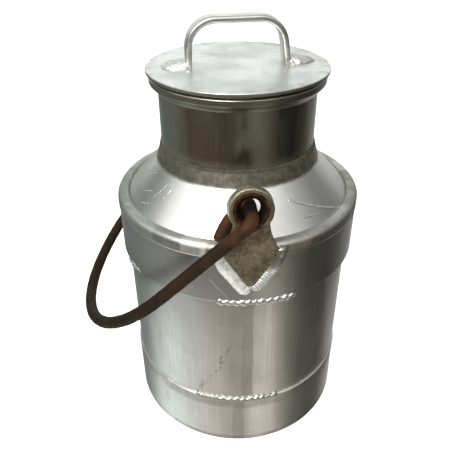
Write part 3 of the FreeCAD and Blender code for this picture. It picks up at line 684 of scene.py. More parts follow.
BODY_TONE = (0.91, 0.905, 0.885)
shell_material = can_finish(
    "body_sheet_aluminium", BODY_TONE, seams=((-0.005, 0.044, 0.068, 0.181, 1.0),), stain=True,
    scratches=(((-0.33, 0.158), (-0.12, 0.157), 0.0006, (0.80, 0.78, 0.74)),
               ((-1.05, 0.090), (-0.98, 0.104), 0.0006, (0.62, 0.61, 0.58)),
               ((0.80, 0.150), (0.83, 0.143), 0.0009, (0.90, 0.90, 0.88))))
foot_material = can_finish(
    "foot_sheet_aluminium", BODY_TONE, seams=((-0.075, 0.052, 0.0, 0.058, 0.8),),
    scratches=(((-0.82, 0.038), (-0.78, 0.030), 0.0006, (0.50, 0.48, 0.43)),),
    grime=((0.052, 0.062, 0.004, (0.46, 0.44, 0.38), 0.5), (-0.002, 0.004, 0.004, (0.40, 0.37, 0.31), 0.6)))
band_material = can_finish(
    "band_sheet_aluminium", tuple(c * 0.82 for c in BODY_TONE),
    scratches=(((-1.20, 0.221), (-1.05, 0.216), 0.0008, (0.60, 0.68, 0.64)),
               ((-0.30, 0.213), (-0.17, 0.196), 0.0008, (0.88, 0.86, 0.83))),
    grime=((0.2375, 0.2475, 0.003, (0.40, 0.41, 0.375), 0.85),),
    # Rim patches: brown and tan stains; the greenish and dark grey ones at the sides are painted
    # reflections, the near-white one at the front a painted sheen.
    stains_and_painted_reflections=((-0.345, -0.235, 0.2365, 0.2450, (0.50, 0.43, 0.32), 0.9),
             (-1.25, -0.78, 0.2350, 0.2460, (0.50, 0.57, 0.52), 0.6),
             (-1.90, -1.15, 0.2300, 0.2465, (0.34, 0.37, 0.33), 0.8),
             (1.05, 1.65, 0.2300, 0.2465, (0.37, 0.37, 0.31), 0.8),
             (-0.50, -0.33, 0.2360, 0.2460, (0.92, 0.91, 0.87), 0.7),
             (0.30, 0.46, 0.2380, 0.2440, (0.60, 0.53, 0.42), 0.6)))
base_material = can_finish("base_sheet_aluminium", tuple(c * 0.9 for c in BODY_TONE),
                           grime=((0.0, 0.03, 0.002, (0.42, 0.40, 0.35), 0.6),))
neck_material = neck_finish()
cone_material = cone_finish()
lid_material = lid_finish()
mouth_material = mouth_finish()
strap_material = strap_finish()
cast_material = cast_finish()
bead_material = bead_finish()
rod_material = rust_finish("rusty_rod", (0.0115, 0.0068, 0.0024), (0.066, 0.0225, 0.0062),
                           (0.050, 0.043, 0.034))
bush_material = rust_finish("rusty_bush", (0.010, 0.0035, 0.0018), (0.050, 0.0125, 0.0050),
                            (0.070, 0.042, 0.019))


# ---------------------------------------------------------------- the turned pieces

shell_inside = SHELL_RADIUS - SHEET
neck_inside = NECK_RADIUS - SHEET
base_inside = BASE_RADIUS - BASE_FLANGE_SHEET
plug_inside = PLUG_RADIUS - PLUG_SHEET

fit(put_mesh("foot_ring_sheet", [turned([
    (SHELL_RADIUS, FOOT_TOP, 0.2), (FOOT_RADIUS, FOOT_TOP, 0.7), (FOOT_RADIUS, 0, 1.4),
    (FOOT_INSIDE, 0, 3.0), (FOOT_INSIDE, SHELL_BOTTOM, 0.5), (SHELL_RADIUS, SHELL_BOTTOM, 0.2),
])]), "can", "can_aluminium", foot_material, "foot_ring")

fit(put_mesh("body_sheet", [turned([
    (shell_inside, SHELL_BOTTOM, 0.3), (SHELL_RADIUS, SHELL_BOTTOM, 0.3),
    (SHELL_RADIUS, SHELL_TOP, 0.3), (shell_inside, SHELL_TOP, 0.3),
], longest=4.0)]), "can", "can_aluminium", shell_material, "body_shell")

fit(put_mesh("base_dish", [turned([
    (0, BASE_TOP - BASE_SHEET, 0), (base_inside, BASE_TOP - BASE_SHEET, 1.2),
    (base_inside, BASE_FLANGE, 0.4),
    (BASE_RADIUS, BASE_FLANGE, 0.4), (BASE_RADIUS, BASE_TOP, 2.0), (0, BASE_TOP, 0),
], closed=False, longest=6.0)]), "can", "can_aluminium", base_material, "base_plate")

fit(put_mesh("top_band_and_rim", [turned([
    (SHELL_RADIUS, BAND_BOTTOM, 0.15), (BAND_RADIUS, BAND_BOTTOM, 1.2),
    (BAND_RADIUS, RIM_BOTTOM - RIM_SLOPE, 0.5), (RIM_RADIUS, RIM_BOTTOM, 0.5),
    (RIM_RADIUS, RIM_TOP, 5.2), (CONE_RADIUS, RIM_TOP, 1.8),
    (CONE_RADIUS, SHELL_TOP, 0.3), (SHELL_RADIUS, SHELL_TOP, 0.3),
])]), "can", "can_aluminium", band_material, "top_band")

fit(put_mesh("shoulder", [turned([
    (CONE_RADIUS, CONE_FOOT, 0.3), (COLLAR_RADIUS, COLLAR_BOTTOM, 7.0),
    (COLLAR_TOP_RADIUS, CONE_TOP, 0.6), (NECK_RADIUS, CONE_TOP, 0.2),
    (NECK_RADIUS, COLLAR_BOTTOM + COLLAR_INSIDE, 0.5), (CONE_RADIUS, CONE_BOTTOM, 0.3),
], columns=360, longest=3.0)]), "can", "can_aluminium", cone_material, "shoulder_cone")

fit(put_mesh("neck_sheet", [turned([
    (neck_inside, NECK_BOTTOM, 0.4), (NECK_RADIUS, NECK_BOTTOM, 0.4),
    (NECK_RADIUS, NECK_TOP, 0.3), (neck_inside, NECK_TOP, 0.3),
], longest=4.0)]), "can", "neck_aluminium", neck_material, "neck_tube")

fit(put_mesh("mouth_rim", [turned([
    (NECK_RADIUS, MOUTH_BOTTOM, 0.1), (NECK_RADIUS + MOUTH_FOOT, MOUTH_BOTTOM, 0.5),
    (MOUTH_RADIUS, MOUTH_TOP - MOUTH_FACE, 1.4), (MOUTH_RADIUS, MOUTH_TOP, 1.4),
    (neck_inside, MOUTH_TOP, 0.5), (neck_inside, NECK_TOP, 0.2),
    (NECK_RADIUS, NECK_TOP, 0.2),
], longest=2.5)]), "can", "neck_aluminium", mouth_material, "mouth_ring")


def lid_warp(azimuth, radius):
    """The lid plate is not quite flat: its rim rises and falls by slow sines round it."""
    edge = (unit(radius / LID_RADIUS)) ** 3
    return edge * (0.22 * np.sin(2 * azimuth + 0.9) + 0.12 * np.sin(5 * azimuth + 2.0)) - 0.12 * edge


fit(put_mesh("lid_disc", [turned([
    (0, LID_BOTTOM, 0), (LID_RADIUS, LID_BOTTOM, 0.9), (LID_RADIUS, LID_TOP, 0.9), (0, LID_TOP, 0),
], closed=False, longest=3.0, sway=0.6, tilt=lid_warp)]), "lid", "lid_aluminium", lid_material, "lid_plate")

fit(put_mesh("lid_neck_plug", [turned([
    (plug_inside, PLUG_BOTTOM, 0.8), (PLUG_RADIUS, PLUG_BOTTOM, 0.8),
    (PLUG_RADIUS, MOUTH_TOP, 0.5), (PLUG_FLANGE, MOUTH_TOP, 0.4),
    (PLUG_FLANGE, LID_BOTTOM, 0.3), (plug_inside, LID_BOTTOM, 0.5),
])]), "lid", "lid_aluminium", mouth_material, "lid_plug")


# ---------------------------------------------------------------- lid handle and its welds

HANDLE_TURN = math.radians(3.8)
STRAP_THICK, STRAP_WIDE, STRAP_CORNER, STRAP_BEND = 5.8, 18.0, 1.75, 25.0
STRAP_FOOT, STRAP_LEFT, STRAP_RIGHT = 45.0, 43.7, 39.7
MOUND_PLACE, MOUND_REACH, MOUND_UNDER, MOUND_HALF, MOUND_RISE = 44.8, 21.0, 3.4, 12.6, 5.6


def turned_about_z(points, angle):
    """Points turned about Z: (x cos - y sin, x sin + y cos, z)."""
    c, s = math.cos(angle), math.sin(angle)
    return points @ np.array([[c, s, 0], [-s, c, 0], [0, 0, 1]])


def rounded_bar(wide, thick, corner):
    """A rounded rectangle as (across, through) points. A ray from the middle meets the plain
    rectangle, and its point is set one corner radius away from the rectangle inset by it."""
    angle = circle(40)
    half_u, half_v = wide / 2 - corner, thick / 2 - corner
    c, s = np.cos(angle), np.sin(angle)
    reach = 1 / np.maximum(np.abs(c) * thick / wide, np.abs(s))
    box_u = np.clip(c * reach * thick / 2, -half_u, half_u)
    box_v = np.clip(s * reach * thick / 2, -half_v, half_v)
    out = np.stack([c * reach * thick / 2 - box_u, s * reach * thick / 2 - box_v], 1)
    length = np.maximum(np.linalg.norm(out, axis=1), 1e-9)[:, None]
    return np.stack([box_u, box_v], 1) + out / length * corner


def strap():
    """The bent flat strap: a rounded bar section carried along the bent centre line in X-Z.

    At each station the section's width lies along Y and its thickness along the line's own
    normal, and both are eased by a small ripple, as on a hand-bent bar."""
    half = STRAP_THICK / 2
    top = HANDLE_TOP - LID_TOP
    line = bent_line([(half - STRAP_FOOT, 0.05), (half - STRAP_LEFT, top - half),
                      (STRAP_RIGHT - half, top - half), (STRAP_FOOT - half, 0.05)],
                     [STRAP_BEND - half] * 2, 24)
    line, along = even(line, 0.9)
    normal = normals(np.gradient(line, axis=0))
    section = rounded_bar(STRAP_WIDE, STRAP_THICK, STRAP_CORNER)
    wide = section[None, :, 0] * (1 - 0.012 * (1 + ripple(along / 9, 3)))[:, None]
    thick = section[None, :, 1] * (1 - 0.03 * (1 + ripple(along / 7, 4)))[:, None]
    x = line[:, 0, None] + normal[:, 0, None] * thick
    z = line[:, 1, None] + normal[:, 1, None] * thick
    grid = np.stack([x, wide, z], -1)
    grid[..., 2] += LID_TOP
    edge = np.broadcast_to(np.abs(section[:, 0]) > STRAP_WIDE / 2 - 1.0, x.shape)
    return turned_about_z(grid, HANDLE_TURN), edge


grid, edge = strap()
fit(put_mesh("lid_strap_handle", [(grid, False)], {"edge": [edge]}),
    "lid", "handle_aluminium", strap_material, "lid_handle")


def weld_mound(side):
    """A lump of weld on the lid against a strap foot.

    In polar steps (rho, theta) it lies at (reach rho cos, half rho sin) with height
    rise * (1 - rho^2.4)^0.6, plus crescent ripples along its length and small lumps. Under
    the strap its reach is short. Its flat underside closes it."""
    rho = np.concatenate([np.linspace(0.05, 0.95, 5), np.linspace(1.0, 0.02, 46)])
    under = np.arange(len(rho)) < 5
    theta = circle(120)
    t, q = np.meshgrid(theta, rho)
    outer = MOUND_REACH + 1.2 * np.sin(3 * t + side) + 0.7 * np.sin(8 * t + 2 * side)
    across = np.where(np.cos(t) > 0, outer, MOUND_UNDER) * q * np.cos(t)
    wide = MOUND_HALF + 0.6 * np.sin(4 * t + 1.3 * side)
    along = wide * q * np.sin(t)
    height = MOUND_RISE * (1 - q ** 2.4) ** 0.60
    slant = across * 0.62 + along * 0.78 * side
    bow = slant + 0.021 * (across * 0.78 - along * 0.62 * side) ** 2
    pace = bow / 2.1 * TAU + 0.6 * np.sin(along / 3)
    fade = unit(height / 1.6)
    points = np.stack([across, along, height], -1)
    height = height + fade * (0.20 * np.cos(pace) - 0.20 + 0.55 * lumps(points, 8.0, 11 + side) - 0.15)
    height = np.where(under[:, None], -0.05, np.maximum(height, -0.04))
    groove = np.where(under[:, None], 0.0, fade * 0.3 * unit(-np.cos(pace)) + (1 - fade) * 0.5)
    grid = np.stack([side * (MOUND_PLACE + across), along, LID_TOP + height], -1)
    return turned_about_z(grid, HANDLE_TURN), groove


mounds = [weld_mound(-1), weld_mound(1)]
fit(put_mesh("lid_handle_weld_lumps", [(grid, False) for grid, _ in mounds],
             {"groove": [groove for _, groove in mounds]}),
    "lid", "weld_bead", bead_material, "lid_handle_welds")


# ---------------------------------------------------------------- lugs

EYE_TILT = math.radians(14)
EYE_FRONT, EYE_BACK, EYE_DEPTH, EYE_HEIGHT = 114.5, 102.5, 12.4, 279.6
EYE_RADIUS, EYE_BACK_RADIUS = 17.5, 18.6
BUSH_RADIUS, BORE_RADIUS = 14.2, 10.25
EYE_AXIS = np.array([0, math.cos(EYE_TILT), -math.sin(EYE_TILT)])
EYE_UP = np.array([0, math.sin(EYE_TILT), math.cos(EYE_TILT)])
EYE_CENTRE = np.array([0, -EYE_FRONT, EYE_HEIGHT])
SHIELD_TIP, WEB_TOP, WEB_FRONT, WEB_BACK, BUSH_CLEARED = 208.8, 272.5, 116.9, 109.6, 15.7


def round_eye(profile, bends):
    """A ring about the eye's leaning axis, cut upright behind.

    The profile gives (share of depth, radius) corners. Point (i, j) is the front centre plus
    r cos a along X, r sin a along the eye's own up, and d along its axis. The full depth at
    each point is where that line meets the upright plane at the back."""
    marks = [(share * EYE_DEPTH, radius) for share, radius in profile]
    half = (np.array(marks[0]) + np.array(marks[-1])) / 2
    line = spaced(bent_line([half] + marks + [half], bends), 1.2, 0.3)[:-1]
    a, share = np.meshgrid(circle(180), line[:, 0] / EYE_DEPTH,
                           indexing="ij")
    r = np.broadcast_to(line[:, 1], a.shape)
    full = (EYE_FRONT - EYE_BACK - math.sin(EYE_TILT) * r * np.sin(a)) / math.cos(EYE_TILT)
    depth = share * full
    grid = (EYE_CENTRE + (r * np.cos(a))[..., None] * np.array([1.0, 0, 0])
            + (r * np.sin(a))[..., None] * EYE_UP + depth[..., None] * EYE_AXIS)
    return grid, share, r


def width_at(height):
    """Half the casting's width at a height: the narrow web under the eye flares in a hollow
    curve to the rim, then the shield runs straight down to its blunt tip."""
    marks = ((208.6, 1.4), (210, 3.0), (215, 6.8), (226, 14.2), (235, 19.2), (240, 21.2),
             (244, 21.6), (247, 20.6), (252, 18.2), (258, 16.0), (265, 14.6), (272, 14.0), (278, 13.6))
    heights, halves = zip(*marks)
    return np.interp(height, heights, halves)


def cast_plate():
    """The web and shield as one plate.

    At each height a rounded section runs from the back face to the front face, as wide as
    width_at says. Below the rim the front face follows the band's circle at the shield's
    radius, and above it the face eases forward to the web's flat front. Small lumps roughen it.
    Points that would lie in the bush are moved straight out from the eye's axis into the ring."""
    heights = np.concatenate([np.linspace(SHIELD_TIP, 214, 14), np.linspace(214.4, WEB_TOP, 104)])
    angle = circle(96)
    power = 0.30
    u = np.sign(np.cos(angle)) * np.abs(np.cos(angle)) ** power
    v = np.sign(np.sin(angle)) * np.abs(np.sin(angle)) ** power
    h, uu = np.meshgrid(heights, u, indexing="ij")
    vv = np.broadcast_to(v, h.shape)
    half = width_at(h)
    x = uu * half
    on_band = np.sqrt(np.maximum(BAND_RADIUS ** 2 - x ** 2, 1))
    proud = np.interp(h, (207.6, 210, 236, 246, 252, 276), (2.4, 3.8, 4.0, 4.2, 4.4, 4.6))
    front_low = on_band + proud
    front_high = WEB_FRONT - 0.0012 * x ** 2
    ease = unit((h - 240) / 14)
    ease = ease * ease * (3 - 2 * ease)
    front = front_low * (1 - ease) + front_high * ease
    back_low = on_band - 2.2
    back_high = np.full_like(h, WEB_BACK)
    lift = unit((h - 243.5) / 3.0)
    back = back_low * (1 - lift) + back_high * lift
    depth = (front + back) / 2 + vv * (front - back) / 2
    grid = np.stack([x, -depth, h], -1)
    rough = 0.26 * lumps(grid, 7.0, 21) + 0.16 * lumps(grid, 2.6, 22)
    outward = np.stack([uu * 0.4, -np.maximum(vv, 0), np.zeros_like(h)], -1)
    grid = grid + outward * (rough - 0.15)[..., None]
    offset = grid - EYE_CENTRE
    depth = (offset @ EYE_AXIS)[..., None] * EYE_AXIS
    radial = offset - depth
    length = np.linalg.norm(radial, axis=-1)[..., None]
    grid = EYE_CENTRE + depth + radial * np.maximum(1, BUSH_CLEARED / np.maximum(length, 0.1))
    rub_and_highlight = (vv > 0.9) * unit(lumps(grid, 11.0, 5)) * 0.35
    return grid, rub_and_highlight


def casting():
    """The eye ring and the plate. The attribute rub is high on the eye's worn outside and edge,
    and face on its flat front."""
    ring, share, radius = round_eye(
        [(1.0, BUSH_RADIUS - 0.05), (0.0, BUSH_RADIUS - 0.05), (0.0, EYE_RADIUS), (1.0, EYE_BACK_RADIUS)],
        [0.4, 0.45, 1.5, 0.8])
    offset = (ring - EYE_CENTRE) @ EYE_AXIS
    radial = ring - EYE_CENTRE - offset[..., None] * EYE_AXIS
    radial /= np.linalg.norm(radial, axis=-1)[..., None]
    rough = 0.25 * lumps(ring, 10.0, 31) + 0.08 * lumps(ring, 3.0, 32)
    outer = unit((radius - BUSH_RADIUS) / 3)
    ring = ring + radial * (outer * np.minimum(rough - 0.15, 0))[..., None]
    rub_and_highlight = unit((radius - EYE_RADIUS + 1.1) / 0.7) * unit(1.35 - share)
    face = unit((EYE_RADIUS - 0.6 - radius) / 0.6) * unit(1 - share * 6)
    plate, plate_rub = cast_plate()
    return [(ring, True), (plate, "strip")], {"rub_and_highlight": [unit(rub_and_highlight), plate_rub],
                                              "face": [face, np.zeros_like(plate_rub)]}


def bush():
    """The steel bush: a ring in the eye whose front edge is worn to a wide funnel. Rust and old
    grease narrow its bore towards the back."""
    ring, share, radius = round_eye(
        [(1.0, BORE_RADIUS - 2.4), (0.60, BORE_RADIUS - 1.9), (0.34, BORE_RADIUS - 0.5),
         (0.11, BORE_RADIUS + 2.0), (0.09, BUSH_RADIUS), (1.0, BUSH_RADIUS)],
        [0.5, 2.0, 2.5, 0.7, 0.15, 0.2])
    bore = radius < BUSH_RADIUS - 0.3
    rough = 0.14 * lumps(ring, 5.0, 41) + 0.08 * lumps(ring, 2.0, 42)
    ring = ring + EYE_AXIS * (bore * unit(1 - share * 3) * unit(rough + 0.1))[..., None]
    rub_and_highlight = unit(0.9 - 2.2 * share + 0.4 * lumps(ring, 8.0, 43))
    bare = unit((radius - BORE_RADIUS - 1.9) / 0.9) * (share < 0.2) * 0.95
    # deep: painted shade towards the back of the bore.
    deep = unit((share - 0.12) / 0.2) * bore
    return [(ring, True)], {"rub_and_highlight": [rub_and_highlight], "bare": [bare], "deep": [deep]}


def turned_half_way(parts):
    """The same grids turned by half a turn about Z: (-x, -y, z)."""
    return [(grid * np.array([-1.0, -1.0, 1.0]), wrap) for grid, wrap in parts]


def bead(path, wide, tall, coin, depth, seed, skew, ridge=0.0):
    """A weld bead laid along a path on a cylinder.

    Path points are (arc length round the can, height); at each station the section is a
    flattened arch, wide by tall, whose height is cut by crescent ripples: coin is their pitch,
    depth their depth, skew how far the crescents bow along the path, and ridge the height of a
    crest near its middle. Width and depth are lists of values over the bead's length. Returns the
    flat grid (arc, height above the surface, z) and how deep each point lies in a groove."""
    line, along = even(np.array(path, float), 0.45)
    tangent = np.gradient(line, axis=0)
    kernel = np.ones(15) / 15
    tangent = np.stack([np.convolve(np.pad(tangent[:, k], 7, "edge"), kernel, "valid") for k in (0, 1)], 1)
    normal = normals(tangent)
    angle = circle(36)
    across, up = np.cos(angle), np.maximum(np.sin(angle), -0.12)
    ends = taper(along, 3.2, 0.07)
    s, c = np.meshgrid(along, across, indexing="ij")
    wobble = 1 + 0.10 * ripple(along / 4.5, seed) + 0.05 * ripple(along / 1.7, seed + 1)
    w = spread(wide, along) / 2 * wobble * ends
    shift = 0.35 * ripple(along / 6, seed + 2)
    phase = (s - skew * c ** 2 * coin + 0.35 * coin * ripple(along / 5, seed + 3)[:, None]) / coin * TAU
    saw = 0.5 + 0.5 * np.sin(phase + 0.5 * np.sin(phase))
    top = unit(up)[None]
    lift = (tall * (1 + 0.10 * ripple(along / 6, seed + 4)) * ends)[:, None] * up[None]
    depth = spread(depth, along)
    lift = lift - depth[:, None] * saw * top ** 0.5 * ends[:, None]
    lift = lift + ridge * np.exp(-((c - 0.1) / 0.28) ** 2) * top * ends[:, None]
    place = line[:, None, :] + normal[:, None, :] * ((w[:, None] * c) + shift[:, None])[..., None]
    lift = np.where(up[None] < 0, up[None] * 2.0, lift)
    groove = unit(saw * np.minimum(depth[:, None] * 1.3, 1) * top ** 0.4
                  + unit(1 - top * 5.0) * 0.55)
    return np.stack([place[..., 0], lift, place[..., 1]], -1), groove


def on_cylinder(grid, radius):
    """Wraps a flat grid of (arc, height above, z) round Z: a = arc / radius, r = radius + height."""
    a = grid[..., 0] / radius
    r = radius + grid[..., 1]
    return np.stack([r * np.sin(a), -r * np.cos(a), grid[..., 2]], -1)


def lug_weld():
    """The two beads of the V that joins the shield to the band, laid from the rim to the tip."""
    left, left_groove = bead([(-27.2, 242.2), (-26.4, 236.6), (-19.8, 225.4), (-10.9, 212.2), (-5.6, 204.6),
                              (0.0, 202.4)], [10.5, 12.4, 13.0, 12.6, 11.6, 8.5], 4.5, 6.4,
                             [0.25, 0.5, 0.3, 0.6, 0.4], 51, 0.5, 0.8)
    right, right_groove = bead([(25.8, 244.0), (25.2, 239.5), (21.8, 232.0), (17.2, 223.2), (9.2, 211.8),
                                (1.4, 204.2)], [9.0, 11.6, 12.2, 12.0, 11.2, 9.0], 4.4, 2.2,
                               [0.0, 0.0, 0.10, 0.75, 0.85, 0.7], 61, 0.9)
    # olive: a painted dark reflection over the right bead's upper half.
    olive = unit((right[..., 2] - 222) / 8) * 0.85
    parts = [(on_cylinder(left, BAND_RADIUS - 0.15), False), (on_cylinder(right, BAND_RADIUS - 0.15), False)]
    frost = [np.ones(left.shape[:2]), unit((228 - right[..., 2]) / 8) * 0.6]
    return parts, {"groove": [left_groove, right_groove], "olive": [np.zeros(left.shape[:2]), olive],
                   "frost": frost}


cast_parts, cast_marks = casting()
bush_parts, bush_wear = bush()
weld_parts, weld_marks = lug_weld()
for side, arrange in (("front", list), ("rear", turned_half_way)):
    fit(put_mesh(side + "_lug_casting", arrange(cast_parts), cast_marks),
        "can", "cast_lug", cast_material, side + "_lug")
    fit(put_mesh(side + "_eye_bush", arrange(bush_parts), bush_wear),
        "can", "rusty_bush", bush_material, side + "_lug_bush")
    fit(put_mesh(side + "_lug_weld_beads", arrange(weld_parts), weld_marks),
        "can", "weld_bead", bead_material, side + "_lug_weld")


# ---------------------------------------------------------------- seam welds

def rope_seam(start, end, radius, height, thick, seed):
    """A twisted-looking seam bead along part of a circle.

    Its section's radius is thick * (1 + 0.15 cos(2 q - k s)), where q goes round the section
    and s along the seam, so two low strands wind round each other with an irregular pitch."""
    a0, a1 = math.radians(start), math.radians(end)
    length = (a1 - a0) * radius
    along = np.linspace(0, length, max(12, int(length / 0.4)))
    q = circle(28)
    s, qq = np.meshgrid(along, q, indexing="ij")
    ends = taper(along, 3.0, 0.1)
    pitch = s / 6.4 * TAU + 1.6 * ripple(s / 9, seed)
    twist = np.cos(2 * qq - pitch)
    swell = 1 + 0.16 * ripple(s / 3.4, seed + 1)
    size = thick * ends[:, None] * (1 + 0.15 * twist) * swell
    drop = 0.45 * ripple(along / 7, seed + 2)[:, None]
    a = a0 + s / radius
    r = radius + size * np.cos(qq) * 0.8
    z = height + drop + size * np.sin(qq)
    return np.stack([r * np.sin(a), -r * np.cos(a), z], -1), unit(-twist) * 0.6


band_runs = [rope_seam(-14.5, 21.2, BAND_RADIUS - 1.0, BAND_BOTTOM + 0.1, 2.9, 71),
             rope_seam(-69.5, -57.0, BAND_RADIUS - 1.0, BAND_BOTTOM - 0.2, 2.3, 76),
             rope_seam(166.0, 201.5, BAND_RADIUS - 1.0, BAND_BOTTOM + 0.1, 2.8, 81)]
foot_runs = [rope_seam(-26.8, 16.5, FOOT_RADIUS - 1.1, FOOT_TOP + 0.3, 2.1, 91),
             rope_seam(154.0, 196.5, FOOT_RADIUS - 1.1, FOOT_TOP + 0.3, 2.1, 96)]
for name, runs, node, tarnish in (("band_seam_beads", band_runs, "band_seam_welds", 0.25),
                                  ("foot_seam_beads", foot_runs, "foot_seam_welds", 0.55)):
    marks = {"groove": [g for _, g in runs], "olive": [np.full(g.shape, tarnish) for _, g in runs]}
    fit(put_mesh(name, [(grid, False) for grid, _ in runs], marks),
        "can", "weld_bead", bead_material, node)


# ---------------------------------------------------------------- the bail

ROD_RADIUS = 5.5
HANG = math.radians(134.0)
ARCH_RADIUS, ARCH_CENTRE, LEG_HALF, HOOK_INSIDE = 120.0, 94.5, 124.7, 89.5


def bail_line():
    """The rod's centre line in its own plane, as (y, s): an arch about (0, centre), a straight
    leg that leaves it at its tangent point, and a hook through the eye, mirrored in y."""
    mark, centre = np.array([-LEG_HALF, 0.0]), np.array([0.0, ARCH_CENTRE])
    reach = np.linalg.norm(mark - centre)
    outward = math.atan2(mark[1] - centre[1], mark[0] - centre[0])
    touch = outward - math.acos(ARCH_RADIUS / reach)
    angle = np.linspace(math.pi / 2, touch % TAU, 90)
    arch = centre + ARCH_RADIUS * np.stack([np.cos(angle), np.sin(angle)], 1)
    hook = bent_line([arch[-1], (-LEG_HALF, 0), (-HOOK_INSIDE, 0), (-HOOK_INSIDE, 11), (-98.3, 26.5),
                      (-109.6, 34.7)],
                     [8.5, 8.5, 8.0, 12.0], 16)
    half = np.vstack([arch, hook[1:]])
    return np.vstack([half[::-1], half[1:] * np.array([-1.0, 1.0])])


def rod():
    """A round section carried along the bail's line.

    The line lies in a plane through the hinge that hangs over by the bail's angle. The
    radius is a little under the rod's, roughened by rust lumps and eased at both tips."""
    line, along = even(bail_line(), 1.1)
    left = normals(np.gradient(line, axis=0))
    out = np.array([-math.sin(HANG), 0.0, math.cos(HANG)])
    side = np.array([0.0, 1.0, 0.0])
    face = np.cross(out, side)
    centre = line[:, :1] * side + line[:, 1:] * out + np.array([0, 0, HINGE_HEIGHT])
    normal = left[:, :1] * side + left[:, 1:] * out
    q = circle(40)
    ring = (np.cos(q)[None, :, None] * normal[:, None, :] + np.sin(q)[None, :, None] * face)
    surface = centre[:, None, :] + ring * ROD_RADIUS
    rough = 0.16 * lumps(surface, 9.0, 101) + 0.09 * lumps(surface, 3.2, 102)
    ends = np.minimum(along, along[-1] - along)
    ease = np.sqrt(unit(1 - unit(1 - ends / 1.2) ** 2)) * 0.25 + 0.75
    radius = (ROD_RADIUS - 0.22) * ease[:, None] + np.clip(rough, -0.25, 0.2)
    near_eye = unit(1.35 - ends / 95.0)
    rub_and_highlight = unit(near_eye[:, None] + 0.25 * lumps(surface, 14.0, 103)) * (near_eye[:, None] > 0.02)
    bare = unit((ends < 9)[:, None] * (0.5 + lumps(surface, 5.0, 104)))
    # deep: painted shade on the rod where it passes through the eye.
    out_from_axis = np.abs(line[:, 0])
    deep = unit((EYE_FRONT + 3.0 - out_from_axis) / 3.0) * unit((out_from_axis - EYE_BACK + 4.5) / 4.0)
    deep = deep * (np.abs(line[:, 1]) < 6.0)
    return centre[:, None, :] + ring * radius[..., None], {
        "rub_and_highlight": [rub_and_highlight], "bare": [bare], "deep": [np.broadcast_to(deep[:, None], rub_and_highlight.shape)]}


grid, rod_wear = rod()
fit(put_mesh("bail_rod", [(grid, False)], rod_wear),
    "bail", "rusty_rod", rod_material, "bail")


# ---------------------------------------------------------------- studio

def studio_sheet(name, points, faces, shade, rough, glow):
    """A plain grey mesh that gives off white light of strength glow."""
    mesh = bpy.data.meshes.new(name)
    mesh.from_pydata(points, [], faces)
    sheet = bpy.data.objects.new(name, mesh)
    bpy.context.scene.collection.objects.link(sheet)
    material = bpy.data.materials.new("pale_" + name)
    material.use_nodes = True
    inputs = material.node_tree.nodes["Principled BSDF"].inputs
    for key, value in (("Base Color", (shade, shade, shade, 1)), ("Roughness", rough),
                       ("Emission Color", (1, 1, 1, 1)), ("Emission Strength", glow)):
        inputs[key].default_value = value
    mesh.materials.append(material)
    return sheet


def pale_floor():
    """A wide plain floor. It gives off a little light, so it stays white under the can."""
    half = 8.0
    floor = studio_sheet("floor", [(-half, -half, 0), (half, -half, 0), (half, half, 0), (-half, half, 0)],
                         [(0, 1, 2, 3)], 0.85, 0.9, 0.72)
    floor.visible_glossy = False


def pale_backdrop():
    """A closed pale wall and ceiling far round the floor. Only the camera sees it: it neither
    lights the can nor shows in it. Wall points are (r sin a, -r cos a, height)."""
    reach, rise, columns = 7.9, 7.0, 64
    a = circle(columns)
    ring = np.stack([reach * np.sin(a), -reach * np.cos(a), np.full(columns, -0.01)], 1)
    points = np.vstack([ring, ring + np.array([0, 0, rise])])
    near, far = np.arange(columns), np.roll(np.arange(columns), -1)
    walls = np.stack([near, near + columns, far + columns, far], 1).tolist()
    backdrop = studio_sheet("backdrop", points.tolist(), walls + [(near + columns).tolist()], 0.0, 0.5, 0.95)
    for ray in ("diffuse", "glossy", "transmission", "volume_scatter", "shadow"):
        setattr(backdrop, "visible_" + ray, False)


